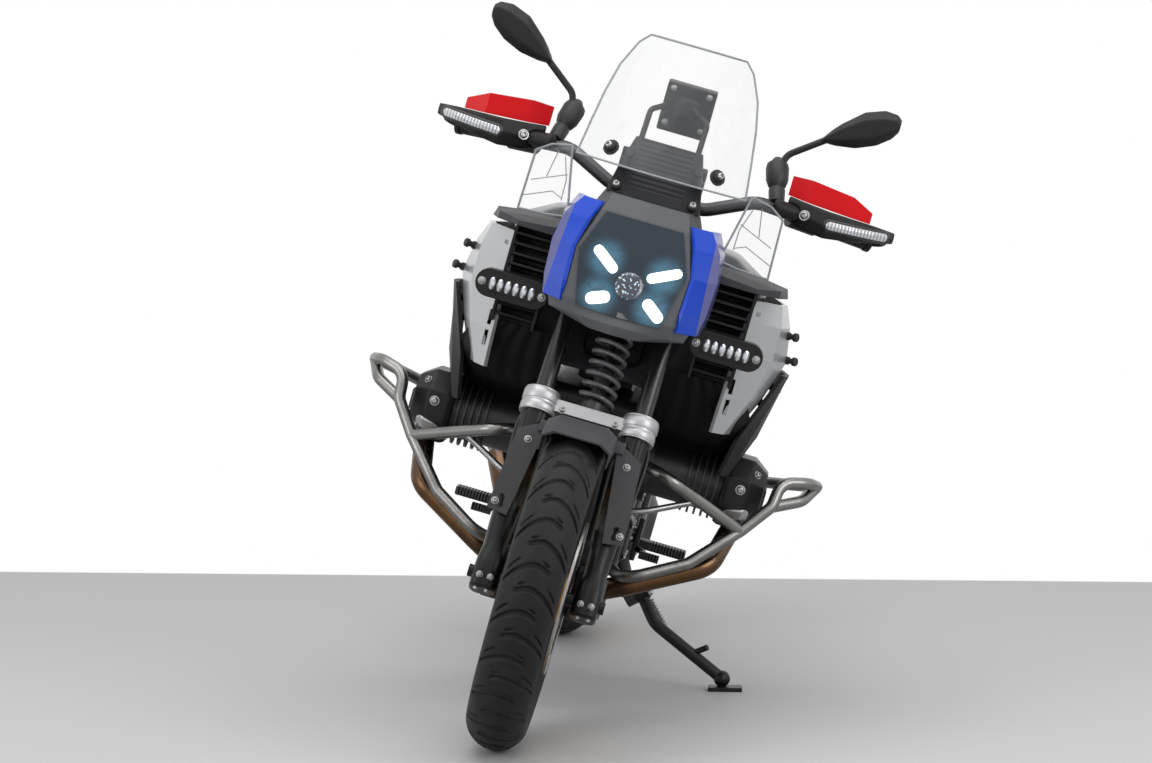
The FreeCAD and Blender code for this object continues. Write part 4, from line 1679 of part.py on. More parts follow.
# The motorcycle, from the wheels up. A piece seated in another is cut by what carries it.
front_wheel()
rear_wheel()
brake_discs()
sliders = fork()
bar = handlebar()
controls = bar_controls()
side_stand()
crankcase, heads = engine()
silencer = muffler()
exhaust(silencer, heads)
sub_part("skid_plate", [cut("skid_seated", skid_plate(), [crankcase])])
crash_bars(crankcase)
frame = main_frame()
rails = subframe(frame, silencer)
rear_arm = swingarm()
tank_body = tank(frame)
silver = side_panels()
radiator = radiators()
tank_seated = cut("tank_seated", tank_body, both_sides(silver) + both_sides(radiator))
sub_part("fuel_tank", [tank_seated])
sub_part("radiators", both_sides(cut("radiator_seated", radiator, [silver])))
panel_boss = cylinder("panel_boss", size.panel_boss_radius, size.panel_boss_length,
                      Vector(size.panel_boss_x, size.panel_boss_y, size.panel_boss_z), ACROSS)
boss_seated = cut("panel_boss_seated", panel_boss, [tank_seated])
sub_part("side_panels", both_sides(fuse("side_panel_bossed", [silver, boss_seated])))
sub_part("wing_panels", both_sides(cut("wing_seated", wing_panels(), [silver, heads[0]])))
housing = headlamp()
screen, side_clear = windscreen()
blue = cut("blue_seated", blue_panels(housing), [radiator, side_clear])
sub_part("blue_panels", both_sides(blue))
top = cut("shroud_top_seated", shroud_tops(), [tank_body, silver, radiator, blue])
sub_part("shroud_tops", both_sides(top))
sub_part("aux_lamps", both_sides(cut("aux_seated", aux_lamps(), [radiator, silver, blue])))
sub_part("windscreen", [screen] + both_sides(side_clear))
instruments(screen, housing)
tail(rails, seats(frame, rails))
front_arm_and_struts(crankcase, frame, rails, rear_arm)
foot_controls(crankcase, rails)
front_fender(sliders)
calipers(sliders)
bar_fittings(controls, bar)
print_datums(write_parts())
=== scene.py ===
# Adventure motorcycle parked on its side stand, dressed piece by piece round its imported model.
# Lengths are in metres. Pieces are shaped in the motorcycle's own upright frame, with +X to the
# rider's left, +Y to the rear and +Z up from the ground midway between the axles, then leaned over.
import json
import math

import bmesh
import bpy
from mathutils import Matrix, Vector
from mathutils.bvhtree import BVHTree


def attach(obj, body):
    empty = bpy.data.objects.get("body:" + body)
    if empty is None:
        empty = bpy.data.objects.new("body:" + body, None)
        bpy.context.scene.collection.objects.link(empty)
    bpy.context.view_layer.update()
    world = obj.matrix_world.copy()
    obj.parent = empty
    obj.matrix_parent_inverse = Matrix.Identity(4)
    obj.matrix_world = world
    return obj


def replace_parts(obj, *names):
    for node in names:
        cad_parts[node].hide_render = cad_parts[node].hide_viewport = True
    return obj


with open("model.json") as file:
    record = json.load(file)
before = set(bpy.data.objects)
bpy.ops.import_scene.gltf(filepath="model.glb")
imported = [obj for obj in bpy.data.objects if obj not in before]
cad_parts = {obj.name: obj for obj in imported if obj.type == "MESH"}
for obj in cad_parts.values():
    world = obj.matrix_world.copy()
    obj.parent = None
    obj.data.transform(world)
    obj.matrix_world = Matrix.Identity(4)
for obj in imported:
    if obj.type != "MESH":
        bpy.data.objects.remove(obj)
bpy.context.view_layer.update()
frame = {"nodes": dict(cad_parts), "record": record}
nodes = frame["nodes"]

# Stance: the axles carry everything, so the upright frame is found from the two wheel joints.
# The tyres touch the leaning ground on their crowns, which sets how high the axles are.
joints = {joint["name"]: joint for joint in frame["record"]["behaviour"]["joints"]}
front_axle_place = Vector(joints["front_wheel_spin"]["pos_m"])
rear_axle_place = Vector(joints["rear_wheel_spin"]["pos_m"])
across_way = Vector(joints["front_wheel_spin"]["axis"]).normalized()
rear_way = Vector((0, 1, 0))
up_way = across_way.cross(rear_way)
lean_angle = math.asin(-across_way.z)
half_wheelbase = (rear_axle_place.y - front_axle_place.y) / 2
front_tyre_radius = 0.325
front_crown_radius = 0.062
front_axle_height = front_tyre_radius - front_crown_radius + front_crown_radius / math.cos(lean_angle)
ground_middle = front_axle_place + rear_way * half_wheelbase - up_way * front_axle_height
upright = Matrix((across_way, rear_way, up_way)).transposed().to_4x4()
upright.translation = ground_middle
hands = ((-1, "right"), (1, "left"))

# Camera: a long lens a little above the mirrors, standing off the front and to the rider's left.
lens_length = 105.6
camera_from_front_axle = Vector((0.5197, -6.560, 0.9052))
camera_heading = math.radians(3.85)
camera_pitch = math.radians(4.31)
lens = bpy.data.cameras.new("photo_lens")
lens.lens = lens_length
camera = bpy.data.objects.new("photo_camera", lens)
camera.location = front_axle_place + camera_from_front_axle
camera.rotation_euler = (math.pi / 2 - camera_pitch, 0, camera_heading)
bpy.context.collection.objects.link(camera)
bpy.context.scene.camera = camera


class Wire:
    """A socket's value, on which arithmetic adds Math nodes."""

    def __init__(self, finish, socket):
        self.finish = finish
        self.socket = socket

    def maths(self, operation, *values):
        return self.finish.node("ShaderNodeMath", {"operation": operation}, list(values))

    def __add__(self, other):
        return self.maths("ADD", self, other)

    def __sub__(self, other):
        return self.maths("SUBTRACT", self, other)

    def __mul__(self, other):
        return self.maths("MULTIPLY", self, other)

    def __rsub__(self, other):
        return self.maths("SUBTRACT", other, self)

    def __gt__(self, other):
        return self.maths("GREATER_THAN", self, other)

    __radd__ = __add__
    __rmul__ = __mul__

    def wave(self):
        return self.maths("SINE", self)

    def size(self):
        return self.maths("ABSOLUTE", self)

    def root(self):
        return self.maths("SQRT", self)

    def fraction(self):
        return self.maths("FRACT", self)

    def away(self, other):
        """How far a point is from an axis, from its two distances to it."""
        return (self * self + other * other).root()

    def ramp(self, low, high):
        """0 at low, 1 at high, smooth between."""
        return self.finish.node("ShaderNodeMapRange", {"interpolation_type": "SMOOTHSTEP"}, {
            "Value": self, "From Min": low, "From Max": high})


class Finish:
    """A material on the principled shader, whose other nodes come from one method."""

    def __init__(self, name, colour, roughness, metallic=0.0, shine=0.5, **fixed):
        self.material = bpy.data.materials.new(name)
        self.material.use_nodes = True
        self.tree = self.material.node_tree
        self.shader = self.tree.nodes["Principled BSDF"]
        self.feed(Base_Color=(*colour, 1), Roughness=roughness, Metallic=metallic,
                  Specular_IOR_Level=shine, **fixed)

    def feed(self, **values):
        for name, value in values.items():
            self.set(self.shader.inputs[name.replace("_", " ")], value)
        return self

    def set(self, port, value):
        if isinstance(value, Wire):
            self.tree.links.new(value.socket, port)
        else:
            port.default_value = value

    def node(self, kind, settings=None, inputs=None, output=0):
        made = self.tree.nodes.new(kind)
        for name, value in (settings or {}).items():
            setattr(made, name, value)
        numbered = enumerate(inputs) if isinstance(inputs, list) else (inputs or {}).items()
        for name, value in numbered:
            self.set(made.inputs[name], value)
        return Wire(self, made.outputs[output])

    def axes(self):
        """How far a point is to the left, back and up on the motorcycle, in the upright frame."""
        inverse = upright.inverted()
        return self.parts(self.node("ShaderNodeMapping", {"vector_type": "POINT"}, {
            "Vector": self.node("ShaderNodeTexCoord", output="Object"),
            "Location": inverse.translation, "Rotation": inverse.to_euler()}))

    def parts(self, vector):
        split = self.node("ShaderNodeSeparateXYZ", None, {"Vector": vector})
        return [Wire(self, port) for port in split.socket.node.outputs]

    def noise(self, scale, detail=3.0, vector=None):
        vector = vector or self.node("ShaderNodeTexCoord", output="Object")
        return self.node("ShaderNodeTexNoise", None, {"Vector": vector, "Scale": scale, "Detail": detail})

    def between(self, factor, first, second):
        """A colour between two colours."""
        mix = self.node("ShaderNodeMix", {"data_type": "RGBA"}, {"Factor": factor}, output=2)
        for port, colour in ((6, first), (7, second)):
            self.set(mix.socket.node.inputs[port], colour if isinstance(colour, Wire) else (*colour, 1))
        return mix

    def bump(self, height, depth, edge=0.0016):
        """Relief on the surface, over edges that are rounded a little as moulded and cast ones are."""
        soft = self.node("ShaderNodeBevel", {"samples": 4}, {"Radius": edge})
        normal = self.node("ShaderNodeBump", None, {"Height": height, "Distance": depth, "Normal": soft})
        return self.feed(Normal=normal)

    def on(self, *names):
        """Put the finish on CAD nodes or finished pieces."""
        for name in names:
            target = nodes[name] if name in nodes else bpy.data.objects[name]
            target.data.materials.clear()
            target.data.materials.append(self.material)
        return self


def grained(name, colour, roughness, scale, depth, edge=0.0016, **fixed):
    """Moulded or cast stuff: a fine even grain, and a slow drift in how it shines."""
    finish = Finish(name, colour, roughness, **fixed)
    drift = finish.noise(9.0)
    dust = finish.noise(70.0, 5.0).ramp(0.5, 0.8)
    darker, lighter = [c * 0.84 for c in colour], [min(1, c * 1.14) for c in colour]
    finish.feed(Roughness=drift * 0.16 + dust * 0.08 + (roughness - 0.1),
                Base_Color=finish.between(drift, darker, lighter))
    return finish.bump(finish.noise(scale, 2.0), depth, edge)


def brushed(name, colour, roughness, edge=0.001, **fixed):
    """Metal with fine marks drawn round the tube or along the plate."""
    finish = Finish(name, colour, roughness, 1.0, **fixed)
    stretched = finish.node("ShaderNodeMapping", None, {
        "Vector": finish.node("ShaderNodeTexCoord", output="Object"), "Scale": (40.0, 40.0, 900.0)})
    marks = finish.noise(1.0, 2.0, stretched)
    cloud = finish.noise(14.0)
    finish.feed(Roughness=marks * 0.14 + cloud * 0.12 + (roughness - 0.12),
                Base_Color=finish.between(cloud, [c * 0.82 for c in colour], colour))
    return finish.bump(marks, 0.00012, edge)


# Wheels: moulded rubber tyres with a cut road tread, on rims and crossed spokes anodised in gold
# that keep their CAD shapes. Steel nipples and elbows hold each spoke. Sizes are the part's own.
front_axle_at = Vector((0, -half_wheelbase, front_axle_height))
rear_tyre_radius = 0.318
rear_crown_radius = 0.090
rear_axle_height = rear_tyre_radius - rear_crown_radius + rear_crown_radius / math.cos(lean_angle)
rear_axle_at = Vector((0, half_wheelbase, rear_axle_height))


def placed(name, data):
    """An object of a mesh or a curve, in the scene."""
    obj = bpy.data.objects.new(name, data)
    bpy.context.collection.objects.link(obj)
    return obj


def evaluated(holder):
    """The mesh that an object comes to with its modifiers. The object is taken away."""
    graph = bpy.context.evaluated_depsgraph_get()
    mesh = bpy.data.meshes.new_from_object(holder.evaluated_get(graph))
    bpy.data.objects.remove(holder)
    return mesh


def ridden(name, mesh, body, finish, smooth_angle=math.radians(40)):
    """An object of a finished mesh, shaded smooth but for its sharp edges, on its body."""
    obj = placed(name, mesh)
    mesh.shade_smooth()
    mesh.set_sharp_from_angle(angle=smooth_angle)
    mesh.materials.clear()
    mesh.materials.append(finish.material)
    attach(obj, body)
    return obj


def leaned(name, points, faces):
    """A mesh given in the upright frame, leaned over with the motorcycle."""
    mesh = bpy.data.meshes.new(name)
    mesh.from_pydata([tuple(point) for point in points], [], faces)
    mesh.transform(upright)
    return mesh


def grid_faces(rows, columns, closed_rows=False, closed_columns=False):
    """The faces between rows of points, as indices."""
    faces = []
    for i in range(rows if closed_rows else rows - 1):
        for j in range(columns if closed_columns else columns - 1):
            k = (i + 1) % rows
            m = (j + 1) % columns
            faces.append((i * columns + j, i * columns + m, k * columns + m, k * columns + j))
    return faces


def capped_faces(rows, columns):
    """The faces of a closed tube of rings, with its two ends."""
    count = rows * columns
    ends = [tuple(range(columns))[::-1], tuple(range(count - columns, count))]
    return grid_faces(rows, columns, closed_columns=True) + ends


def smoothed(value, low, high):
    """0 at low, 1 at high, smooth between."""
    share = min(1.0, max(0.0, (value - low) / (high - low)))
    return share * share * (3 - 2 * share)


# Cuts in each pitch: start, sweep, half widths, band across (inner edge, outer edge) and depth.
tread_cuts = [(0.0, 1.0, (0.065, 0.125), (-0.40, -0.30), (0.80, 0.90), 1.0),
              (0.25, 1.1, (0.03, 0.075), (0.40, 0.47), (0.72, 0.80), 0.8),
              (0.62, 1.0, (0.03, 0.07), (0.10, 0.15), (0.28, 0.34), 0.7)]


def groove_depth(turn_share, across_share):
    """How deep the tread is cut: hooked grooves over the middle, mirrored in turn, and sipes."""
    depth = 0.0
    for side, first in ((1, 0.0), (-1, 0.5)):
        across = across_share * side
        hooked = 0.62 * abs(across) ** 1.7
        for start, sweep, width, inner, outer, deep in tread_cuts:
            gap = abs((turn_share / 2 + first + start - hooked * sweep) % 1.0 - 0.5) * 2
            band = smoothed(across, *inner) * (1 - smoothed(across, *outer))
            depth = max(depth, (1 - smoothed(gap, *width)) * band * deep)
    return depth


def from_axle(finish, centre):
    """How far a point is from an axle, and how far back and up from it."""
    back, up = finish.axes()[1:]
    back, up = back - centre.y, up - centre.z
    return back.away(up), back, up


def tyre(name, node, body, centre, radius, crown, width, bead, rim_width, pitches):
    """A tyre from rim lip to rim lip, its crown cut by the tread pitch by pitch."""
    tread_depth = 0.0055
    pitch_steps = 24
    crown_count = 50
    wall_count = 9
    wall_bulge = 0.004
    lip_height = 0.017
    steps = pitches * pitch_steps
    half = width / 2
    reach = math.asin(half / crown)
    shoulder = radius - crown + crown * math.cos(reach)
    lip_radius = bead + lip_height
    wall = []
    for n in range(wall_count):
        share = n / wall_count
        bulge = wall_bulge * math.sin(math.pi * share)
        wall.append((rim_width / 2 + (half - rim_width / 2) * share + bulge,
                     lip_radius + (shoulder - lip_radius) * share))
    profile = [(-x, r, None) for x, r in wall]
    for n in range(crown_count + 1):
        share = 2 * n / crown_count - 1
        profile.append((crown * math.sin(reach * share),
                        radius - crown + crown * math.cos(reach * share), share))
    profile += [(x, r, None) for x, r in reversed(wall)]
    points = []
    for step in range(steps):
        angle = 2 * math.pi * step / steps
        turn_share = step / pitch_steps
        for x, r, share in profile:
            cut = 0.0 if share is None else tread_depth * groove_depth(turn_share, share)
            points.append(centre + (r - cut) * Vector((0, math.cos(angle), math.sin(angle)))
                          + Vector((x, 0, 0)))
    faces = grid_faces(steps, len(profile), closed_rows=True)
    rubber = Finish(name + "_rubber", (0.010, 0.010, 0.011), 0.5, shine=0.3)
    away = from_axle(rubber, centre)[0]
    rings = (away * 1400.0).wave()
    on_wall = 1.0 - away.ramp(radius * 0.90, radius * 0.93)
    dust = rubber.noise(26.0, 4.0)
    rubber.feed(Roughness=dust * 0.2 + 0.5,
                Base_Color=rubber.between(dust.ramp(0.45, 0.75), (0.005, 0.005, 0.0055),
                                          (0.012, 0.0118, 0.0115)))
    rubber.bump(rings * on_wall * 0.5 + rubber.noise(520.0, 2.0) * 0.5, 0.0004)
    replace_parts(ridden(name, leaned(name, points, faces), body, rubber, math.radians(50)), node)


tyre("front_road_tyre", "front_tyre", "front_wheel", front_axle_at, front_tyre_radius,
     front_crown_radius, width=0.118, bead=0.241, rim_width=0.076, pitches=44)
tyre("rear_road_tyre", "rear_tyre", "rear_wheel", rear_axle_at, rear_tyre_radius,
     rear_crown_radius, width=0.168, bead=0.2155, rim_width=0.114, pitches=40)

brushed("gold_anodised", (0.66, 0.42, 0.11), 0.30).on("front_rim", "rear_rim")


def turned_bar(start, end, stations, sides=16):
    """Points and faces of a bar of changing radius: stations are (share along, radius)."""
    along = end - start
    side_way = along.orthogonal().normalized()
    other_way = along.normalized().cross(side_way)
    points = []
    for share, radius in stations:
        middle = start + along * share
        for n in range(sides):
            angle = 2 * math.pi * n / sides
            points.append(middle + side_way * (radius * math.cos(angle))
                          + other_way * (radius * math.sin(angle)))
    return points, capped_faces(len(stations), sides)


def gathered(name, parts):
    """One leaned mesh out of several lists of points and faces."""
    points, faces = [], []
    for part_points, part_faces in parts:
        base = len(points)
        points += part_points
        faces += [tuple(n + base for n in face) for face in part_faces]
    return leaned(name, points, faces)


def nipples(name, body, centre, hub_x, hub_radius, rim_x, rim_radius):
    """A nipple on each spoke's rim end and an elbow at its hub end, on both sides."""
    spoke_count = 16
    sweep = math.radians(24)
    nipple_length, elbow_length, elbow_foot = 0.020, 0.016, 0.004
    parts = []
    for side in (-1, 1):
        for n in range(spoke_count):
            angle = 2 * math.pi * n / spoke_count
            lead = angle + (sweep if n % 2 else -sweep)
            hub_end, rim_end = [
                centre + Vector((side * x, radius * math.cos(turn), radius * math.sin(turn)))
                for x, radius, turn in ((hub_x, hub_radius, angle), (rim_x, rim_radius, lead))]
            along = (rim_end - hub_end).normalized()
            parts.append(turned_bar(rim_end - along * nipple_length, rim_end, [
                (0, 0.0030), (0.1, 0.0042), (0.7, 0.0042), (0.75, 0.0056), (1, 0.0056)], 8))
            parts.append(turned_bar(hub_end - along * elbow_foot, hub_end + along * elbow_length, [
                (0, 0.0046), (0.5, 0.0042), (1, 0.0026)], 8))
    ridden(name, gathered(name, parts), body, nipple_steel)


nipple_steel = brushed("nipple_steel", (0.62, 0.60, 0.55), 0.3)
nipples("front_nipples", "front_wheel", front_axle_at, hub_x=0.031, hub_radius=0.039,
        rim_x=0.030, rim_radius=0.2385)
nipples("rear_nipples", "rear_wheel", rear_axle_at, hub_x=0.042, hub_radius=0.060,
        rim_x=0.045, rim_radius=0.213)

# Brake discs: ground steel bands drilled in three rows, on dark carriers. The rows are cut by
# alpha, and fine rings show where the pads have worn the bands.
def drilled(name, node, centre, inner, outer, carrier_to):
    """A disc's steel: bright on the drilled band, dark up to the carrier's radius."""
    row_count, hole_count, hole_radius = 3, 24, 0.0036
    steel = brushed(name, (0.60, 0.60, 0.59), 0.26)
    away, back, up = from_axle(steel, centre)
    angle = up.maths("ARCTAN2", up, back)
    solid = 1.0
    for row in range(row_count):
        row_radius = inner + (outer - inner) * (row + 1) / (row_count + 1)
        turn = (angle * (hole_count / (2 * math.pi)) + row / row_count + 8.0).fraction()
        aside = (turn - 0.5) * (2 * math.pi * row_radius / hole_count)
        solid = (aside.away(away - row_radius) > hole_radius) * solid
    carrier = 1.0 - away.ramp(carrier_to - 0.001, carrier_to + 0.001)
    worn = (away * 5200.0).wave() * 0.05 + 0.27
    steel.feed(Alpha=solid, Metallic=1.0, Roughness=worn + carrier * 0.2,
               Base_Color=steel.between(carrier, (0.58, 0.575, 0.56), (0.045, 0.045, 0.048)))
    steel.on(node)


drilled("front_disc_steel", "front_discs", front_axle_at, inner=0.119, outer=0.155, carrier_to=0.1155)
drilled("rear_disc_steel", "rear_disc", rear_axle_at, inner=0.106, outer=0.138, carrier_to=0.1025)

# Softened copies of CAD pieces: castings, blown forms and thick mouldings have no knife edges.
# Their CAD shape is remeshed evenly and smoothed, and stays within its box.
weld_gap = 0.00003


def copied(name, node):
    """A node's mesh with its facets joined into flats."""
    mesh = nodes[node].data.copy()
    mesh.name = name
    shape = bmesh.new()
    shape.from_mesh(mesh)
    bmesh.ops.remove_doubles(shape, verts=shape.verts, dist=weld_gap)
    bmesh.ops.dissolve_limit(shape, angle_limit=math.radians(1.5), verts=shape.verts, edges=shape.edges)
    shape.to_mesh(mesh)
    shape.free()
    return mesh


def settled(mesh, *modifiers):
    """The mesh with the modifiers, given as (type, settings), applied in turn."""
    holder = placed(mesh.name + "_holder", mesh)
    for kind, settings in modifiers:
        modifier = holder.modifiers.new(kind.lower(), kind)
        for name, value in settings.items():
            setattr(modifier, name, value)
    return evaluated(holder)


def cast(name, node, body, finish, voxel, passes):
    """A softened copy of a node, which it replaces."""
    mesh = settled(copied(name, node),
                   ("REMESH", {"mode": "VOXEL", "voxel_size": voxel, "adaptivity": 0.0}),
                   ("SMOOTH", {"factor": 0.5, "iterations": passes}))
    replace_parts(ridden(name, mesh, body, finish, math.radians(60)), node)

# Fasteners: button-head screws with a hexagon socket. Each seat is found by following a line to
# the surface that carries it, and one tree of geometry nodes sets the heads on those seats.
surfaces = {}
clear_ahead = -0.95
clear_aside = 0.6
clear_above = 1.4


def landing(node, start, way):
    """Where a line from a point of the upright frame meets a CAD node, and the surface's facing."""
    if node not in surfaces:
        mesh = nodes[node].data
        surfaces[node] = BVHTree.FromPolygons([upright.inverted() @ v.co for v in mesh.vertices],
                                              [tuple(p.vertices) for p in mesh.polygons])
    place, facing, index, run = surfaces[node].ray_cast(Vector(start), Vector(way).normalized())
    if place is None:
        print("no landing on", node, tuple(start), tuple(way))
        return None
    return place, facing if facing.dot(Vector(way)) < 0 else -facing


def from_ahead(node, *spots):
    """Seats on both sides of a node, looked for from ahead at places given across and up."""
    return [(node, (side * x, clear_ahead, z), (0, 1, 0)) for side in (-1, 1) for x, z in spots]


def from_sides(node, *spots):
    """Seats on both sides of a node, looked for from the side at places given back and up."""
    return [(node, (side * clear_aside, y, z), (-side, 0, 0)) for side in (-1, 1) for y, z in spots]


def ring(u, w, radius, count, start=0.0):
    """Places spaced evenly round a circle."""
    turns = [start + 2 * math.pi * n / count for n in range(count)]
    return [(u + radius * math.cos(turn), w + radius * math.sin(turn)) for turn in turns]


def add_node(tree, kind, settings=None, inputs=None):
    """A node in a geometry tree, its inputs given as values or as the sockets that feed them."""
    made = tree.nodes.new(kind)
    for name, value in (settings or {}).items():
        setattr(made, name, value)
    for name, value in (inputs or {}).items():
        if isinstance(value, bpy.types.NodeSocket):
            tree.links.new(value, made.inputs[name])
        else:
            made.inputs[name].default_value = value
    return made


def new_tree(name, *sizes, **others):
    """A geometry tree whose inputs are a geometry, others given by kind, named sizes and a material."""
    tree = bpy.data.node_groups.new(name, "GeometryNodeTree")
    tree.interface.new_socket("Geometry", in_out="OUTPUT", socket_type="NodeSocketGeometry")
    kinds = {"Geometry": "Geometry", **others, **dict.fromkeys(sizes, "Float"), "Material": "Material"}
    for label, kind in kinds.items():
        tree.interface.new_socket(label, in_out="INPUT", socket_type="NodeSocket" + kind)
    return tree, tree.nodes.new("NodeGroupInput").outputs


def close_tree(tree, made):
    """Make the tree's instances real, give them the material and hand them out."""
    solid = add_node(tree, "GeometryNodeRealizeInstances", None, {"Geometry": made})
    coloured = add_node(tree, "GeometryNodeSetMaterial", None, {
        "Geometry": solid.outputs[0], "Material": tree.nodes["Group Input"].outputs["Material"]})
    end = tree.nodes.new("NodeGroupOutput")
    tree.links.new(coloured.outputs[0], end.inputs[0])


def grown(name, tree, source, body, finish, **sizes):
    """The tree's result on a source mesh, made a plain mesh and put on its body."""
    holder = placed(name + "_source", source)
    modifier = holder.modifiers.new("shape", "NODES")
    modifier.node_group = tree
    for item in tree.interface.items_tree:
        if item.name in sizes and item.in_out == "INPUT":
            modifier[item.identifier] = sizes[item.name]
        if item.name == "Material":
            modifier[item.identifier] = finish.material
    mesh = evaluated(holder)
    mesh.transform(upright)
    return ridden(name, mesh, body, finish)


def turned_profile(name, rings, sides=12):
    """A small closed form turned about Z; a ring's third value makes it six-sided."""
    points = []
    for radius, height, six_sided in rings:
        for n in range(sides):
            angle = 2 * math.pi * n / sides
            reach = radius
            if six_sided:
                reach = radius / math.cos((angle + math.pi / 6) % (math.pi / 3) - math.pi / 6)
            points.append((reach * math.cos(angle), reach * math.sin(angle), height))
    faces = grid_faces(len(rings), sides, closed_columns=True)
    faces.append(tuple(range(len(points) - sides, len(points))))
    mesh = bpy.data.meshes.new(name)
    mesh.from_pydata(points, [], faces)
    return mesh


screw_head = bpy.data.objects.new("screw_head", turned_profile("screw_head", [
    (1.35, -0.3, False), (1.35, 0.12, False), (1.0, 0.14, False), (1.0, 0.55, False), (0.78, 0.92, False),
    (0.56, 1.0, False), (0.44, 1.0, True), (0.42, 0.35, True)]))
screw_tree, screw_sizes = new_tree("screws_on_seats", "Radius", Head="Object")
facing_read = add_node(screw_tree, "GeometryNodeInputNamedAttribute", {"data_type": "FLOAT_VECTOR"},
                       {"Name": "facing"})
turn_up = add_node(screw_tree, "FunctionNodeAlignRotationToVector", {"axis": "Z"},
                   {"Vector": facing_read.outputs[0]})
head_read = add_node(screw_tree, "GeometryNodeObjectInfo", None, {"Object": screw_sizes["Head"]})
set_heads = add_node(screw_tree, "GeometryNodeInstanceOnPoints", None, {
    "Points": screw_sizes["Geometry"], "Instance": head_read.outputs["Geometry"],
    "Rotation": turn_up.outputs[0], "Scale": screw_sizes["Radius"]})
close_tree(screw_tree, set_heads.outputs[0])


def screws(name, body, finish, radius, seats):
    """Screw heads on seats, given as (node, start, way) or as (point, facing)."""
    found = [landing(*seat) if len(seat) == 3 else (Vector(seat[0]), Vector(seat[1])) for seat in seats]
    found = [seat for seat in found if seat]
    source = bpy.data.meshes.new(name)
    source.from_pydata([tuple(place) for place, facing in found], [], [])
    facings = source.attributes.new("facing", "FLOAT_VECTOR", "POINT")
    for entry, (place, facing) in zip(facings.data, found):
        entry.vector = facing
    return grown(name, screw_tree, source, body, finish, Head=screw_head, Radius=radius)


coil_tree, coil_sizes = new_tree("wound_wire", "Turns", "Radius", "Wire", "Height")
wound = add_node(coil_tree, "GeometryNodeCurveSpiral", None, {
    "Resolution": 20, "Rotations": coil_sizes["Turns"], "Start Radius": coil_sizes["Radius"],
    "End Radius": coil_sizes["Radius"], "Height": coil_sizes["Height"]})
wire_round = add_node(coil_tree, "GeometryNodeCurvePrimitiveCircle", None,
                      {"Resolution": 8, "Radius": coil_sizes["Wire"]})
wire_mesh = add_node(coil_tree, "GeometryNodeCurveToMesh", None, {
    "Curve": wound.outputs[0], "Profile Curve": wire_round.outputs[0], "Fill Caps": True})
close_tree(coil_tree, wire_mesh.outputs[0])


def coil(name, body, finish, start, end, turns, radius, wire):
    """A coil spring from one point of the upright frame to another."""
    run = Vector(end) - Vector(start)
    obj = grown(name, coil_tree, bpy.data.meshes.new(name), body, finish,
                Turns=turns, Radius=radius, Wire=wire, Height=run.length)
    stand_up = Matrix.Translation(Vector(start)) @ run.to_track_quat("Z", "Y").to_matrix().to_4x4()
    obj.data.transform(upright @ stand_up @ upright.inverted())
    return obj


def hose(name, body, finish, radius, route):
    """A hose or cable held at both ends: a smooth curve through the route, as a tube."""
    curve = bpy.data.curves.new(name, "CURVE")
    curve.dimensions = "3D"
    curve.bevel_depth = radius
    curve.bevel_resolution = 3
    curve.resolution_u = 10
    curve.use_fill_caps = True
    line = curve.splines.new("NURBS")
    line.points.add(len(route) - 1)
    for point, place in zip(line.points, route):
        point.co = (*place, 1)
    line.order_u = 3
    line.use_endpoint_u = True
    mesh = evaluated(placed(name + "_line", curve))
    mesh.transform(upright)
    return ridden(name, mesh, body, finish, math.radians(60))


def overlay(name, body, finish, node, centre, along, across, length, width, lift, corner=0.5, way=(0, 1, 0)):
    """A raised pad or lens of rounded outline that follows the surface of the node below it."""
    along, across, way = Vector(along).normalized(), Vector(across).normalized(), Vector(way).normalized()
    rows, columns = 15, 41
    stand_off, sunk = 0.08, 0.001
    points = []
    round_end = min(length, width) * corner
    for i in range(rows):
        for j in range(columns):
            v = 2 * i / (rows - 1) - 1
            u = 2 * j / (columns - 1) - 1
            u = math.copysign(1 - (1 - abs(u)) ** 1.6, u)
            pulled = max(0.0, abs(v) * width / 2 - (width / 2 - round_end))
            inset = round_end - math.sqrt(max(0.0, round_end ** 2 - pulled ** 2))
            place = Vector(centre) + along * (u * (length / 2 - inset)) + across * (v * width / 2)
            seat = landing(node, place - way * stand_off, way)
            if seat is None:
                return None
            rim = min(1.0, 4 * (1 - abs(u)), 4 * (1 - abs(v)))
            points.append(seat[0] - way * (lift * rim ** 0.5) + way * (sunk if rim == 0 else 0))
    mesh = leaned(name, points, grid_faces(rows, columns))
    shape = bmesh.new()
    shape.from_mesh(mesh)
    bmesh.ops.recalc_face_normals(shape, faces=shape.faces)
    ahead = upright.to_3x3() @ way
    if sum((face.normal.dot(ahead) for face in shape.faces)) > 0:
        bmesh.ops.reverse_faces(shape, faces=shape.faces)
    shape.to_mesh(mesh)
    shape.free()
    return ridden(name, mesh, body, finish, math.radians(60))


screw_steel = brushed("screw_steel", (0.42, 0.42, 0.42), 0.3)
screw_black = grained("screw_black", (0.02, 0.02, 0.021), 0.4, 300.0, 0.0001)
hose_rubber = grained("hose_rubber", (0.009, 0.009, 0.0095), 0.5, 800.0, 0.0001)

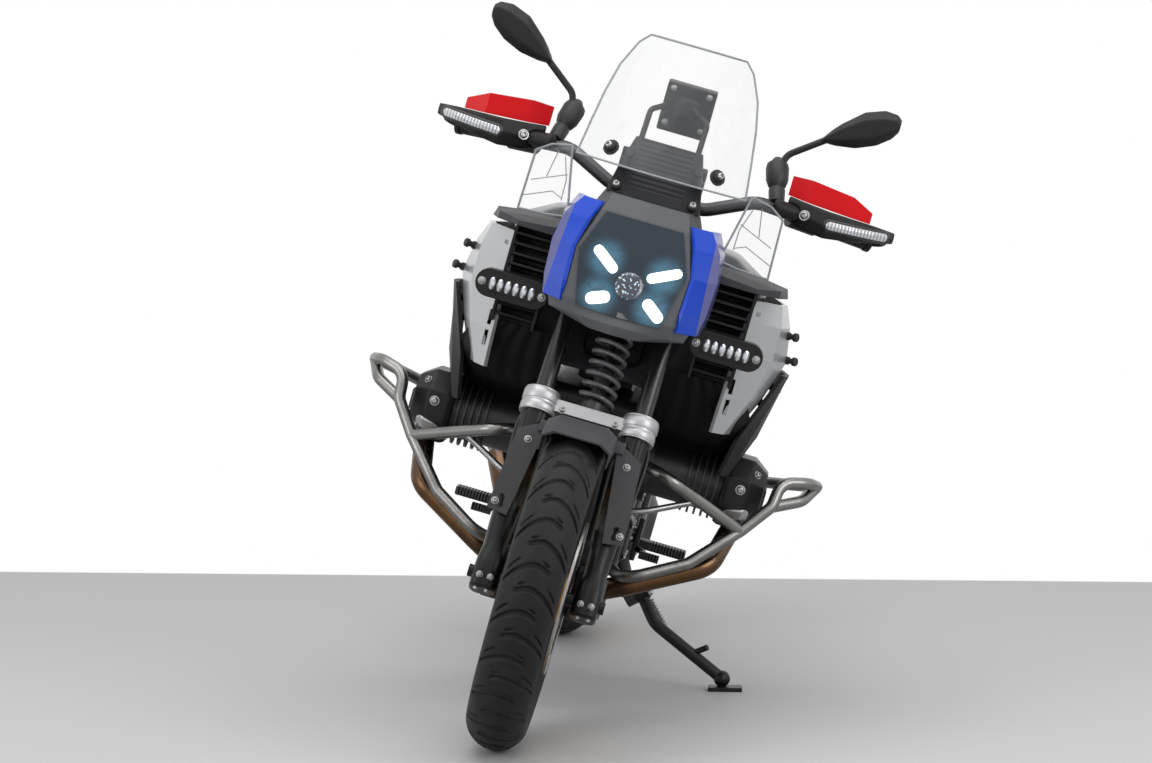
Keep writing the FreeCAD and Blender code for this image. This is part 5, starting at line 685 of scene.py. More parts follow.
# Fork: black upper tubes in forged silver bridges, silver collars over black fluted sliders.
grained("tube_black", (0.010, 0.010, 0.011), 0.24, 700.0, 0.00005).on("fork_tubes")
cast_silver = grained("cast_silver", (0.44, 0.44, 0.45), 0.42, 420.0, 0.0002, metallic=0.85)
cast_silver.on("fork_bridges")
slider_black = Finish("slider_black", (0.008, 0.008, 0.009), 0.30, shine=0.28)
slider_cloud = slider_black.noise(12.0)
slider_black.feed(Roughness=slider_cloud * 0.16 + 0.24,
                  Base_Color=slider_black.between(slider_cloud, (0.006, 0.006, 0.0065),
                                                  (0.008, 0.008, 0.0085)))
slider_black.bump(slider_black.noise(650.0, 2.0), 0.00012)
rake_angle = math.radians(26.2)
fork_half_track = 0.103


def on_fork(out, back, up):
    """A point given across, behind the leg line and up along the fork."""
    fork_up = Vector((0, math.sin(rake_angle), math.cos(rake_angle)))
    fork_back = Vector((0, math.cos(rake_angle), -math.sin(rake_angle)))
    return front_axle_at + Vector((out, 0, 0)) + fork_back * back + fork_up * up


def slider_points(side):
    """A slider's rings: a rounded forged foot round the axle, then a fluted tube up to its collar."""
    stations = [(-0.033, 0.013, 0.013, 0.0), (-0.0335, 0.022, 0.024, 0.0), (-0.030, 0.026, 0.029, 0.0),
                (0.000, 0.027, 0.032, 0.0), (0.030, 0.026, 0.030, 0.0), (0.058, 0.0235, 0.0245, 0.0),
                (0.075, 0.0240, 0.0240, 0.0), (0.130, 0.0255, 0.0255, 0.0), (0.150, 0.0275, 0.0275, 0.0),
                (0.160, 0.0285, 0.0285, 0.0012), (0.250, 0.0285, 0.0285, 0.0022),
                (0.345, 0.0285, 0.0285, 0.0022), (0.352, 0.0290, 0.0290, 0.0)]
    sides = 96
    points = []
    for up, wide, deep, flute in stations:
        for n in range(sides):
            angle = 2 * math.pi * n / sides
            squared = 1 + 0.16 * math.sin(2 * angle) ** 2 * (1 if up < 0.05 else 0)
            cut_in = flute * (0.5 + 0.5 * math.cos(12 * angle)) ** 3
            points.append(on_fork(side * fork_half_track + (wide * squared - cut_in) * math.cos(angle),
                                  (deep * squared - cut_in) * math.sin(angle), up))
    return points, capped_faces(len(stations), sides)


axle_half = Vector((0.139, 0, 0))
axle_bar = turned_bar(front_axle_at - axle_half, front_axle_at + axle_half, [
    (0, 0.0080), (0, 0.0125), (1, 0.0125), (1, 0.0080)], 32)
legs = gathered("fork_legs", [slider_points(-1), slider_points(1), axle_bar])
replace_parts(ridden("fork_legs", legs, "steering", slider_black), "fork_sliders")
foot_bolts = []
for side in (-1, 1):
    for out in (-0.011, 0.011):
        seat = on_fork(side * fork_half_track + out, -0.012, -0.034)
        foot_bolts.append((seat, Vector((0, -math.sin(rake_angle), -math.cos(rake_angle)))))
        foot_bolts.append((on_fork(side * fork_half_track + out, -0.031, -0.012), Vector((0, -1, 0.2))))
screws("foot_bolts", "steering", screw_steel, 0.0050, foot_bolts)
collar_rings = []
for side in (-1, 1):
    for low, high, radius in ((0.3535, 0.372, 0.0372), (0.376, 0.3995, 0.0378)):
        foot, head = [on_fork(side * fork_half_track, 0, up) for up in (low, high)]
        collar_rings.append(turned_bar(foot, head, [
            (0, 0.0340), (0.02, radius - 0.0012), (0.12, radius), (0.88, radius), (0.98, radius - 0.0012),
            (1, 0.0340)], 48))
ridden("collar_bands", gathered("collar_bands", collar_rings), "steering", cast_silver)
screws("bridge_screws", "steering", screw_steel, 0.0060, from_ahead("fork_bridges", (0.055, 0.667)))

# Front fender, brakes and their hoses. The fender is matt moulded plastic with long side plates
# screwed to the sliders; the four-piston calipers are bolted to lugs, each fed by a hose.
grained("fender_plastic", (0.062, 0.063, 0.068), 0.52, 520.0, 0.00035, shine=0.25).on("front_fender")
screws("fender_screws", "steering", screw_steel, 0.0058,
       from_ahead("front_fender", (0.102, 0.598), (0.128, 0.470)))
grained("caliper_black", (0.030, 0.030, 0.032), 0.44, 380.0, 0.0004, metallic=0.4).on("brake_calipers")
screws("caliper_bolts", "steering", screw_steel, 0.0056,
       from_sides("brake_calipers", (-0.665, 0.290), (-0.610, 0.290), (-0.637, 0.357)))
for side, word in hands:
    hose("brake_hose_" + word, "steering", hose_rubber, 0.0042, [
        on_fork(side * out, back, up) for out, back, up in (
            (0.112, 0.080, 0.085), (0.116, 0.062, 0.14), (0.128, 0.04, 0.20), (0.136, 0.030, 0.30),
            (0.134, 0.034, 0.36), (0.110, 0.046, 0.405), (0.06, 0.046, 0.398), (0.03, 0.030, 0.386))])

# Handlebar: a tapered tube in gunmetal anodising, ribbed rubber grips, moulded switch boxes with
# their keys, and brake and clutch masters whose reservoirs have two-screw lids.
brushed("gunmetal", (0.10, 0.10, 0.105), 0.36).on("handlebar")
control_plastic = grained("control_plastic", (0.008, 0.008, 0.0085), 0.46, 700.0, 0.0002, shine=0.28)
control_place = control_plastic.axes()
grip_part = control_place[0].size().ramp(0.318, 0.322)
ribs = (control_place[0] * 1250.0).wave() * grip_part
control_plastic.bump(ribs * 0.5 + control_plastic.noise(700.0, 2.0) * 0.25, 0.0011)
control_plastic.on("bar_controls")

# Hand guards: thick moulded shells with a clear lamp lens let into the front of each, a bolt at
# the inner end, and clear red deflectors standing on their upper edge.
guard_black = grained("guard_black", (0.007, 0.007, 0.0075), 0.44, 560.0, 0.0003, 0.004, shine=0.3)
cast("guard_shells", "hand_guards", "steering", guard_black, 0.0025, 6)
lens_clear = Finish("lens_clear", (0.70, 0.72, 0.75), 0.12, Coat_Weight=1.0, Coat_Roughness=0.04)
lens_place = lens_clear.axes()
facets = (lens_place[0] * 900.0).wave() * 0.5 + 0.5
lens_clear.feed(Base_Color=lens_clear.between(facets, (0.30, 0.32, 0.35), (0.82, 0.84, 0.86)),
                Metallic=facets * 0.3)
lens_clear.bump(facets, 0.0006, 0.0004)
for side, word in hands:
    for piece, finish, length, width, lift in (("guard_lens_frame_", screw_black, 0.154, 0.029, 0.0022),
                                               ("guard_lens_", lens_clear, 0.142, 0.019, 0.0042)):
        overlay(piece + word, "steering", finish, "hand_guards", (side * 0.415, -0.320, 1.163),
                (side * 0.232, 0.080, 0.012), (0, 0, 1), length, width, lift)
screws("guard_bolts", "steering", screw_steel, 0.0085, from_ahead("hand_guards", (0.302, 1.166)))
red_clear = Finish("red_clear", (0.72, 0.006, 0.010), 0.3, shine=0.2)
red_shade = red_clear.noise(7.0)
red_clear.feed(Base_Color=red_clear.between(red_shade, (0.62, 0.003, 0.007), (0.85, 0.010, 0.015)))
red_clear.bump(red_clear.noise(90.0, 2.0), 0.00005, 0.0012)
red_clear.on("guard_deflectors")

# Mirrors: teardrop housings of grained plastic on thin coated stems with ball joints in rubber
# boots, and silvered glass set in the flat side that faces the rider.
mirror_black = grained("mirror_black", (0.010, 0.010, 0.011), 0.40, 600.0, 0.0002, 0.003, shine=0.3)
cast("mirror_shells", "mirrors", "steering", mirror_black, 0.0022, 8)
silvered = Finish("silvered_glass", (0.60, 0.62, 0.65), 0.05, metallic=1.0)
silvered.feed(Roughness=silvered.noise(24.0, 3.0) * 0.05 + 0.02)
for side, word in hands:
    overlay("mirror_glass_" + word, "steering", silvered, "mirrors", (side * 0.382, -0.236, 1.374),
            (side * 0.110, 0, 0.045), (side * -0.045, 0, 0.110), 0.100, 0.042, 0.0010, way=(0, -1, 0))
boots = []
for side in (-1, 1):
    root = Vector((side * 0.240, -0.306, 1.172))
    ball = Vector((side * 0.222, -0.262, 1.240))
    boots.append(turned_bar(root, root + (ball - root) * 1.32, [
        (0, 0.0120), (0.03, 0.0165), (0.30, 0.0175), (0.34, 0.0150), (0.40, 0.0190), (0.52, 0.0235),
        (0.78, 0.0245), (0.86, 0.0225), (0.93, 0.0140), (1, 0.0090)], 20))
ridden("mirror_boots", gathered("mirror_boots", boots), "steering", hose_rubber)

# Headlamp: a faceted grey housing with a smoked glass face. Four lit bars in a cross stand round
# a projector, and their cold light spreads a little over the glass.
nose_grey = grained("nose_grey", (0.095, 0.099, 0.106), 0.46, 520.0, 0.00035, 0.003, shine=0.28)
nose_grey.on("headlamp_housing")
bar_middles = [(-0.053, 0.984), (0.068, 0.979), (-0.048, 0.910), (0.062, 0.911)]
smoked = Finish("smoked_glass", (0.008, 0.014, 0.022), 0.05, Alpha=0.5, Emission_Strength=1.0)
smoked_place = smoked.axes()
spread_light = 0.0
for bar_x, bar_z in bar_middles:
    near = 1.0 - (smoked_place[0] - bar_x).away(smoked_place[2] - bar_z).ramp(0.006, 0.058)
    spread_light = near * near + spread_light
# Painted sheen: the smoked glass is painted lighter towards its top, in place of the light from above that it
# reflects.
painted_top_sheen = smoked_place[2].ramp(0.86, 1.06)
smoked.feed(Base_Color=smoked.between(painted_top_sheen, (0.006, 0.011, 0.018), (0.012, 0.022, 0.034)),
            Alpha=0.92 - spread_light * 0.75,
            Emission_Color=smoked.between(spread_light * 0.8, (0.002, 0.006, 0.010), (0.14, 0.42, 0.62)))
smoked.on("headlamp_glass")
lamp_light = Finish("lamp_light", (0.85, 0.95, 1.0), 0.3, Emission_Strength=2.2)
light_cloud = lamp_light.noise(60.0, 2.0)
lamp_light.feed(Emission_Color=lamp_light.between(light_cloud, (0.78, 0.93, 1.0), (0.92, 0.98, 1.0)),
                Roughness=light_cloud * 0.2 + 0.2)
bar_runs = [((-0.080, 1.001), (-0.027, 0.963), 0.021), ((0.100, 0.996), (0.036, 0.966), 0.020),
            ((-0.070, 0.897), (-0.024, 0.915), 0.024), ((0.086, 0.893), (0.044, 0.926), 0.023)]
lit = []
for n, (outer, inner, width) in enumerate(bar_runs):
    run = Vector((inner[0] - outer[0], 0, inner[1] - outer[1]))
    middle = Vector(((outer[0] + inner[0]) / 2, -0.66, (outer[1] + inner[1]) / 2))
    lit.append(overlay(f"light_bar_{n + 1}", "chassis", lamp_light, "headlamp_glass", middle, run,
                       run.cross(Vector((0, 1, 0))), run.length, width, 0.0016))
projector = Finish("projector_lens", (0.02, 0.03, 0.04), 0.05, Coat_Weight=1.0, Coat_Roughness=0.02,
                   Emission_Strength=1.0)
# Painted glints: small spots of the projector lens are painted bright and made to glow, in place of light
# caught in the lens.
painted_glints = projector.noise(190.0, 1.0).ramp(0.60, 0.68)
projector.feed(Base_Color=projector.between(painted_glints, (0.015, 0.022, 0.03), (0.5, 0.6, 0.68)),
               Emission_Color=projector.between(painted_glints, (0.004, 0.012, 0.018), (0.20, 0.30, 0.36)))
lit.append(overlay("projector_lens", "chassis", projector, "headlamp_glass", Vector((0.007, -0.66, 0.944)),
                   (1, 0, 0), (0, 0, 1), 0.056, 0.056, 0.003))
for piece in lit:
    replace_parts(piece, "light_bars")

# Blue side strips of the nose, lacquered, with a paler violet tone where the outer faces catch
# the light.
blue = Finish("blue_lacquer", (0.0, 0.08, 0.60), 0.3, Coat_Weight=0.25, Coat_Roughness=0.08, shine=0.2)
blue_place = blue.axes()
outer_edge = blue_place[0].size() + (blue_place[2] - 0.88) * 0.06
outer_face = outer_edge.ramp(0.1585, 0.1595)
blue_cloud = blue.noise(60.0, 3.0)
blue.feed(Base_Color=blue.between(outer_face, (0.001, 0.060, 0.60), (0.13, 0.14, 0.36)),
          Roughness=blue_cloud * 0.12 + 0.14)
blue.bump(blue_cloud, 0.00006, 0.002)
blue.on("blue_panels")

# Clear screens: cast acrylic sheet, the tall one dished to its corners and the side pieces
# creased. A sheet's faces are see-through and its sawn edge is a frosted grey line.
clear = Finish("clear_acrylic", (0.97, 0.98, 0.985), 0.02, Alpha=0.10, Coat_Weight=0.4)
clear_sheen = clear.node("ShaderNodeLayerWeight", None, {"Blend": 0.32}, output=1)
clear_dust = clear.noise(40.0, 4.0).ramp(0.5, 0.9)
clear.feed(Alpha=clear_sheen * 0.30 + clear_dust * 0.03 + 0.04, Base_Color=clear.between(
    clear_sheen, (0.62, 0.64, 0.66), (0.40, 0.43, 0.46)), Roughness=clear_dust * 0.1 + 0.03)
edge_grey = Finish("sawn_edge", (0.33, 0.35, 0.37), 0.35)
edge_cloud = edge_grey.noise(160.0, 3.0)
edge_grey.feed(Base_Color=edge_grey.between(edge_cloud, (0.20, 0.215, 0.23), (0.46, 0.48, 0.50)))


def clear_sheet(name, node, body):
    """A copy of a thin CAD sheet whose rim faces take the sawn edge's finish, with a bead on its rim."""
    inside, thickest, rim_radius = 0.0002, 0.012, 0.0023
    mesh = copied(name, node)
    tree = BVHTree.FromPolygons([v.co for v in mesh.vertices], [tuple(p.vertices) for p in mesh.polygons])
    mesh.materials.clear()
    mesh.materials.append(clear.material)
    mesh.materials.append(edge_grey.material)
    for face in mesh.polygons:
        hit = tree.ray_cast(face.center - face.normal * inside, -face.normal, thickest)
        face.material_index = 1 if hit[0] is None else 0
    obj = placed(name, mesh)
    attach(obj, body)
    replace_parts(obj, node)
    shape = bmesh.new()
    shape.from_mesh(mesh)
    shape.faces.ensure_lookup_table()
    border = [edge for edge in shape.edges if len(edge.link_faces) == 2
              and edge.calc_face_angle() > math.radians(50)]
    index, points, lines = {}, [], []
    for edge in border:
        for vert in edge.verts:
            if vert.index not in index:
                index[vert.index] = len(points)
                points.append(upright.inverted() @ vert.co)
        lines.append((index[edge.verts[0].index], index[edge.verts[1].index]))
    shape.free()
    rim = bpy.data.meshes.new(name + "_rim")
    rim.from_pydata(points, lines, [])
    grown(name + "_rim", bead_tree, rim, body, edge_grey, Radius=rim_radius)


bead_tree, bead_sizes = new_tree("bead_on_edges", "Radius")
bead_line = add_node(bead_tree, "GeometryNodeMeshToCurve", None, {"Mesh": bead_sizes["Geometry"]})
bead_round = add_node(bead_tree, "GeometryNodeCurvePrimitiveCircle", None,
                      {"Resolution": 6, "Radius": bead_sizes["Radius"]})
bead_mesh = add_node(bead_tree, "GeometryNodeCurveToMesh", None, {
    "Curve": bead_line.outputs[0], "Profile Curve": bead_round.outputs[0], "Fill Caps": True})
close_tree(bead_tree, bead_mesh.outputs[0])
clear_sheet("clear_screens", "windscreen", "chassis")
creases = [((0.198, 1.150), (0.183, 1.105), (0.182, 1.062)), ((0.183, 1.116), (0.255, 1.085)),
           ((0.182, 1.066), (0.205, 1.075), (0.262, 1.050)), ((0.215, 1.158), (0.225, 1.100))]
crease_steps = 8
for side, word in hands:
    points, lines = [], []
    for run in creases:
        for first, second in zip(run, run[1:]):
            for n in range(crease_steps + 1):
                x = first[0] + (second[0] - first[0]) * n / crease_steps
                z = first[1] + (second[1] - first[1]) * n / crease_steps
                seat = landing("windscreen", (side * x, clear_ahead, z), (0, 1, 0))
                if seat:
                    points.append(seat[0])
                    if n and len(points) > 1:
                        lines.append((len(points) - 2, len(points) - 1))
    crease = bpy.data.meshes.new("crease")
    crease.from_pydata(points, lines, [])
    grown("screen_creases_" + word, bead_tree, crease, "chassis", edge_grey, Radius=0.0011)

# Instrument cover in ribbed grey plastic: the screen is held by four screws on rubber washers.
# The display faces the rider, and the holder above it stands on a bent hoop.
cover_grey = grained("cover_grey", (0.018, 0.019, 0.021), 0.5, 520.0, 0.0003, 0.003, shine=0.28)
cover_place = cover_grey.axes()
in_recess = (1.0 - cover_place[0].size().ramp(0.055, 0.058)) * cover_place[2].ramp(1.128, 1.132)
cover_ribs = (cover_place[2] * 620.0).wave() * in_recess
cover_grey.bump(cover_ribs * 0.6 + cover_grey.noise(520.0, 2.0) * 0.2, 0.0014, 0.003)
cover_grey.on("instrument_shroud")
holder_black = grained("holder_black", (0.008, 0.008, 0.0085), 0.42, 600.0, 0.0002, shine=0.28)
holder_black.on("nav_holder")
washer_rubber = grained("washer_rubber", (0.007, 0.007, 0.0075), 0.6, 500.0, 0.0002)
screen_fixings = from_ahead("windscreen", (0.112, 1.195)) + from_ahead("instrument_shroud", (0.080, 1.124))
screws("screen_washers", "chassis", washer_rubber, 0.0125, screen_fixings)
washer_height = 0.009
lifted = [seat for seat in [landing(*fixing) for fixing in screen_fixings] if seat]
screws("screen_screws", "chassis", screw_steel, 0.0075,
       [(place + facing * washer_height, facing) for place, facing in lifted])
screws("holder_screws", "chassis", screw_steel, 0.0050, [
    ("nav_holder", (0.010 + u * 0.038, clear_ahead, 1.308 + w * 0.036), (0, 1, 0))
    for u in (-1, 1) for w in (-1, 1)])
overlay("holder_pad", "chassis", washer_rubber, "nav_holder", (0.010, -0.40, 1.308), (1, 0, 0), (0, 0, 1),
        0.052, 0.046, 0.008, corner=0.3)

# Side panels: silver-lacquered plastic, slotted at their inner edge, with black rubber studs that
# stand off the outer edge, and matt black wings below and behind them.
silver = Finish("silver_lacquer", (0.46, 0.47, 0.48), 0.34, 0.55, Coat_Weight=0.5, Coat_Roughness=0.12)
flakes = silver.noise(1400.0, 2.0)
silver_cloud = silver.noise(5.0)
silver_tone = silver_cloud * 0.6 + flakes * 0.4
silver.feed(Base_Color=silver.between(silver_tone, (0.40, 0.41, 0.42), (0.56, 0.57, 0.58)),
            Roughness=silver_cloud * 0.1 + 0.30)
silver.bump(flakes, 0.00004, 0.0022)
silver.on("side_panels")
wing_black = grained("wing_black", (0.008, 0.008, 0.0085), 0.48, 560.0, 0.0003, 0.003, shine=0.25)
wing_black.on("wing_panels")
stud_parts = []
for side in (-1, 1):
    for y, z in ((-0.30, 0.915), (-0.29, 0.865), (-0.275, 0.765)):
        seat = landing("side_panels", (side * clear_aside, y, z), (-side, 0, 0))
        if seat:
            way = (seat[1] + Vector((side * 0.4, -0.5, 0))).normalized()
            stud_parts.append(turned_bar(seat[0] - way * 0.003, seat[0] + way * 0.024, [
                (0, 0.0085), (0.3, 0.0085), (0.34, 0.0060), (0.66, 0.0060), (0.7, 0.0092), (0.94, 0.0092),
                (1, 0.0078)], 16))
ridden("panel_studs", gathered("panel_studs", stud_parts), "chassis", washer_rubber)
screws("panel_screws", "chassis", screw_black, 0.0055,
       from_sides("side_panels", (-0.10, 0.93), (-0.06, 0.86), (-0.20, 0.95)))

# Shroud tops in grey grained plastic, and radiators: finned black cores behind louvres.
grained("shroud_grey", (0.045, 0.046, 0.050), 0.5, 520.0, 0.00035, 0.003, shine=0.28).on("shroud_tops")
core_black = grained("core_black", (0.005, 0.005, 0.0055), 0.42, 400.0, 0.0002, shine=0.28)
core_place = core_black.axes()
fins = (core_place[0] * 2600.0).wave() * 0.5 + 0.5
tubes = (core_place[2] * 700.0).wave() * 0.5 + 0.5
behind = core_place[1].ramp(-0.452, -0.448)
core_black.bump((fins * 0.5 + tubes) * behind + core_black.noise(400.0, 2.0) * 0.2, 0.0012, 0.001)
core_black.on("radiators")

# Auxiliary lamps: stadium housings of black alloy with a bolt at each end and a row of six
# tall reflector cells.
lamp_alloy = grained("lamp_alloy", (0.007, 0.007, 0.0075), 0.36, 420.0, 0.0002, 0.003, shine=0.3)
lamp_alloy.on("aux_lamps")
cell_tree, cell_sizes = new_tree("lamp_cells", "Width", "Height")
cell_grid = add_node(cell_tree, "GeometryNodeMeshGrid", None, {
    "Size X": cell_sizes["Width"], "Size Y": cell_sizes["Height"], "Vertices X": 6, "Vertices Y": 1})
cell_bowl = add_node(cell_tree, "GeometryNodeMeshCone", {"fill_type": "NGON"}, {
    "Vertices": 16, "Radius Top": 0.0040, "Radius Bottom": 0.0068, "Depth": 0.004})
set_cells = add_node(cell_tree, "GeometryNodeInstanceOnPoints", None, {
    "Points": cell_grid.outputs[0], "Instance": cell_bowl.outputs[0], "Scale": (1.0, 1.9, 1.0)})
close_tree(cell_tree, set_cells.outputs[0])
cell_chrome = Finish("cell_chrome", (0.75, 0.77, 0.80), 0.14, 0.7)
cell_cloud = cell_chrome.noise(240.0, 3.0)
cell_chrome.feed(Base_Color=cell_chrome.between(cell_cloud, (0.42, 0.44, 0.47), (0.92, 0.94, 0.96)),
                 Roughness=cell_cloud * 0.16 + 0.06)
for side, word in hands:
    face_at = Vector((side * 0.226, -0.5155, 0.864))
    cells = grown("lamp_cells_" + word, cell_tree, bpy.data.meshes.new("cells"), "chassis", cell_chrome,
                  Width=0.082, Height=0.0)
    stood = Matrix.Translation(face_at - Vector((0, 0.0012, 0))) @ Matrix.Rotation(math.pi / 2, 4, "X")
    cells.data.transform(upright @ stood @ upright.inverted())
screws("lamp_screws", "chassis", screw_steel, 0.0062,
       from_ahead("aux_lamps", (0.163, 0.864), (0.289, 0.864)))
for side, word in hands:
    overlay("lamp_rim_" + word, "chassis", lamp_alloy, "aux_lamps", (side * 0.226, -0.5155, 0.864),
            (1, 0, 0), (0, 0, 1), 0.114, 0.041, 0.0006)

# Engine: a flat twin of cast alloy under dark coating, with screwed-on covers, turned cylinder
# fins, and plastic head covers that carry a screw and a silver pad at the lower front.
engine_coat = grained("engine_coat", (0.030, 0.030, 0.032), 0.44, 300.0, 0.0005, 0.004, metallic=0.45)
engine_coat.on("crankcase")
grained("barrel_coat", (0.060, 0.060, 0.062), 0.42, 260.0, 0.0003, 0.001, metallic=0.6).on("cylinders")
cover_black = grained("cover_black", (0.010, 0.010, 0.011), 0.40, 520.0, 0.0002, 0.005, shine=0.28)
cast("head_shells", "head_covers", "chassis", cover_black, 0.0025, 6)
screws("front_cover_screws", "chassis", screw_steel, 0.0062,
       from_ahead("crankcase", (0.072, 0.42), (0.072, 0.59), (0.045, 0.635), (0.045, 0.375)))
screws("boss_screws", "chassis", screw_black, 0.0042, [
    ("crankcase", (x, clear_ahead, z), (0, 1, 0)) for x, z in ring(0, 0.562, 0.050, 6)])
screws("side_cover_screws", "chassis", screw_steel, 0.0048,
       from_sides("crankcase", *ring(0.072, 0.566, 0.040, 6)))
screws("head_screws", "chassis", screw_steel, 0.0065,
       from_sides("head_covers", (-0.242, 0.512), (-0.242, 0.612), (-0.118, 0.512), (-0.118, 0.612)))
screws("head_front_screws", "chassis", screw_steel, 0.0080, from_ahead("head_covers", (0.335, 0.575)))
pad_silver = grained("pad_silver", (0.50, 0.505, 0.51), 0.36, 420.0, 0.0002, metallic=0.7)
case_face = 0.139
case_covers = (("gear", 0.02, 0.430, 0.230, 0.130), ("belt", -0.200, 0.400, 0.120, 0.100),
               ("upper", -0.040, 0.640, 0.250, 0.052))
for side, word in hands:
    overlay("head_pad_" + word, "chassis", pad_silver, "head_covers", (side * 0.338, -0.27, 0.520),
            (side * 1.0, 0, 0.25), (0, 0, 1), 0.056, 0.026, 0.0025)
for side, word in hands:
    for part, y, z, length, height in case_covers:
        overlay(f"case_{part}_{word}", "chassis", engine_coat, "crankcase", (side * 0.13, y, z), (0, 1, 0),
                (0, 0, 1), length, height, 0.009, 0.32, (-side, 0, 0))
        edge_seats = [(y + u * length * 0.40, z + w * height * 0.34) for u in (-1, 0, 1) for w in (-1, 1)]
        screws(f"case_{part}_screws_{word}", "chassis", screw_steel, 0.0040, [
            (Vector((side * case_face, u, w)), Vector((side, 0, 0))) for u, w in edge_seats])
plug_rubber = grained("plug_rubber", (0.007, 0.007, 0.0075), 0.55, 500.0, 0.0002)
for side, word in hands:
    hose("plug_lead_" + word, "chassis", plug_rubber, 0.0055, [
        (side * 0.322, -0.118, 0.640), (side * 0.300, -0.100, 0.665), (side * 0.235, -0.085, 0.684),
        (side * 0.165, -0.080, 0.690), (side * 0.115, -0.080, 0.684)])
    hose("oil_pipe_" + word, "chassis", screw_steel, 0.0070, [
        (side * 0.110, -0.292, 0.465), (side * 0.150, -0.300, 0.475), (side * 0.205, -0.262, 0.500),
        (side * 0.250, -0.245, 0.520)])

# Exhaust: stainless headers coloured bronze by heat, bluer where they leave the heads, and a
# brushed silencer with a black end.
bronze = brushed("heated_steel", (0.30, 0.185, 0.095), 0.30)
bronze_place = bronze.axes()
hot = bronze_place[2].ramp(0.36, 0.52)
patch = bronze.noise(16.0, 4.0).ramp(0.40, 0.72)
bronze_base = bronze.between(patch, (0.120, 0.066, 0.030), (0.045, 0.028, 0.018))
bronze.feed(Base_Color=bronze.between(hot * 0.7, bronze_base, (0.120, 0.095, 0.092)),
            Roughness=patch * 0.2 + 0.22)
bronze.on("exhaust_pipes")
silencer = brushed("silencer_steel", (0.34, 0.34, 0.345), 0.32, 0.004)
silencer_place = silencer.axes()
end_part = silencer_place[1].ramp(0.662, 0.666)
silencer.feed(Base_Color=silencer.between(end_part, (0.33, 0.33, 0.335), (0.02, 0.02, 0.02)))
silencer.on("muffler")

# Crash bars: bent stainless tube brushed along its length, with painted shade towards its lower ends
# for the darker floor they reflect, patches of road dirt, and the pressed alloy skid plate between them.
bar_steel = Finish("bar_steel", (0.30, 0.30, 0.295), 0.34, 1.0)
bar_place = bar_steel.axes()
along_marks = bar_steel.noise(1.0, 2.0, bar_steel.node("ShaderNodeMapping", None, {
    "Vector": bar_steel.node("ShaderNodeTexCoord", output="Object"), "Scale": (90.0, 500.0, 90.0)}))
# Painted shade: the tube darkens towards the bottom in place of the darker floor it reflects; the noise adds
# dirt patches.
floor_shade_and_dirt = (1.0 - bar_place[2].ramp(0.34, 0.50)) * 0.5 + bar_steel.noise(22.0, 4.0).ramp(0.45, 0.8) * 0.4
bar_steel.feed(Base_Color=bar_steel.between(floor_shade_and_dirt, (0.24, 0.237, 0.23), (0.10, 0.097, 0.09)),
               Roughness=along_marks * 0.2 + floor_shade_and_dirt * 0.16 + 0.2)
bar_steel.bump(along_marks, 0.0001, 0.001)
bar_steel.on("crash_bar_left", "crash_bar_right")
skid_alloy = brushed("skid_alloy", (0.26, 0.26, 0.265), 0.4, 0.002)
skid_place = skid_alloy.axes()
pressed = (skid_place[0] * 150.0).wave().ramp(0.55, 0.75) * (1.0 - skid_place[2].ramp(0.300, 0.305))
skid_alloy.bump(pressed, 0.003, 0.003)
skid_alloy.on("skid_plate")

# Frame parts, swingarm with its bevel drive, pegs and levers: black and dark grey coatings.
frame_coat = grained("frame_coat", (0.009, 0.009, 0.0095), 0.42, 420.0, 0.0003, 0.002, shine=0.28)
frame_coat.on("main_frame", "rear_subframe")
arm_coat = grained("arm_coat", (0.050, 0.050, 0.053), 0.42, 260.0, 0.0005, 0.005, metallic=0.5)
arm_coat.on("swingarm", "front_arm")
screws("drive_screws", "chassis", screw_steel, 0.0052, [
    ("swingarm", (-0.5, y, z), (1, 0, 0)) for y, z in ring(rear_axle_at.y, rear_axle_at.z, 0.082, 8, 0.3)])
peg_finish = grained("peg_finish", (0.022, 0.022, 0.023), 0.46, 300.0, 0.0003, 0.0015)
peg_place = peg_finish.axes()
on_peg = peg_place[0].size().ramp(0.185, 0.190) * (1.0 - peg_place[2].ramp(0.42, 0.44))
peg_ribs = (peg_place[0] * 900.0).wave() * on_peg
peg_finish.bump(peg_ribs, 0.0012, 0.0015)
peg_finish.on("foot_controls")
spring_grey = grained("spring_grey", (0.21, 0.215, 0.225), 0.38, 300.0, 0.0001, metallic=0.3)
spring_grey.on("struts")

# Side stand: a black forged leg, with twin return springs between the frame lug and the leg.
stand_black = grained("stand_black", (0.008, 0.008, 0.0085), 0.40, 300.0, 0.0004, 0.003, shine=0.28)
stand_black.on("side_stand")
screws("stand_screw", "side_stand", screw_steel, 0.0085, [("side_stand", (0.6, -0.020, 0.276), (-1, 0, 0))])
for shift, word in ((0.0, "front"), (0.016, "rear")):
    coil("stand_spring_" + word, "side_stand", spring_grey, (0.214, -0.022 + shift, 0.262),
         (0.262, -0.030 + shift, 0.214), 9, 0.0062, 0.0014)

# Seats: foam under black grained cover, with stitched channels across the sitting faces. The
# cover is blown up and settled as cloth over the foam.
seat_cover = grained("seat_cover", (0.017, 0.017, 0.018), 0.58, 260.0, 0.0006, 0.003, shine=0.25)
seat_place = seat_cover.axes()
channel = (seat_place[1] * 160.0).wave().ramp(0.86, 1.0)
on_seat_top = 1.0 - seat_place[0].size().ramp(0.082, 0.092)
seat_weave = seat_cover.noise(900.0, 2.0)
seat_cover.feed(Base_Color=seat_cover.between(on_seat_top, (0.008, 0.008, 0.0085), (0.024, 0.024, 0.026)))
seat_cover.bump(seat_weave * 0.25 - channel * on_seat_top, 0.0016, 0.003)


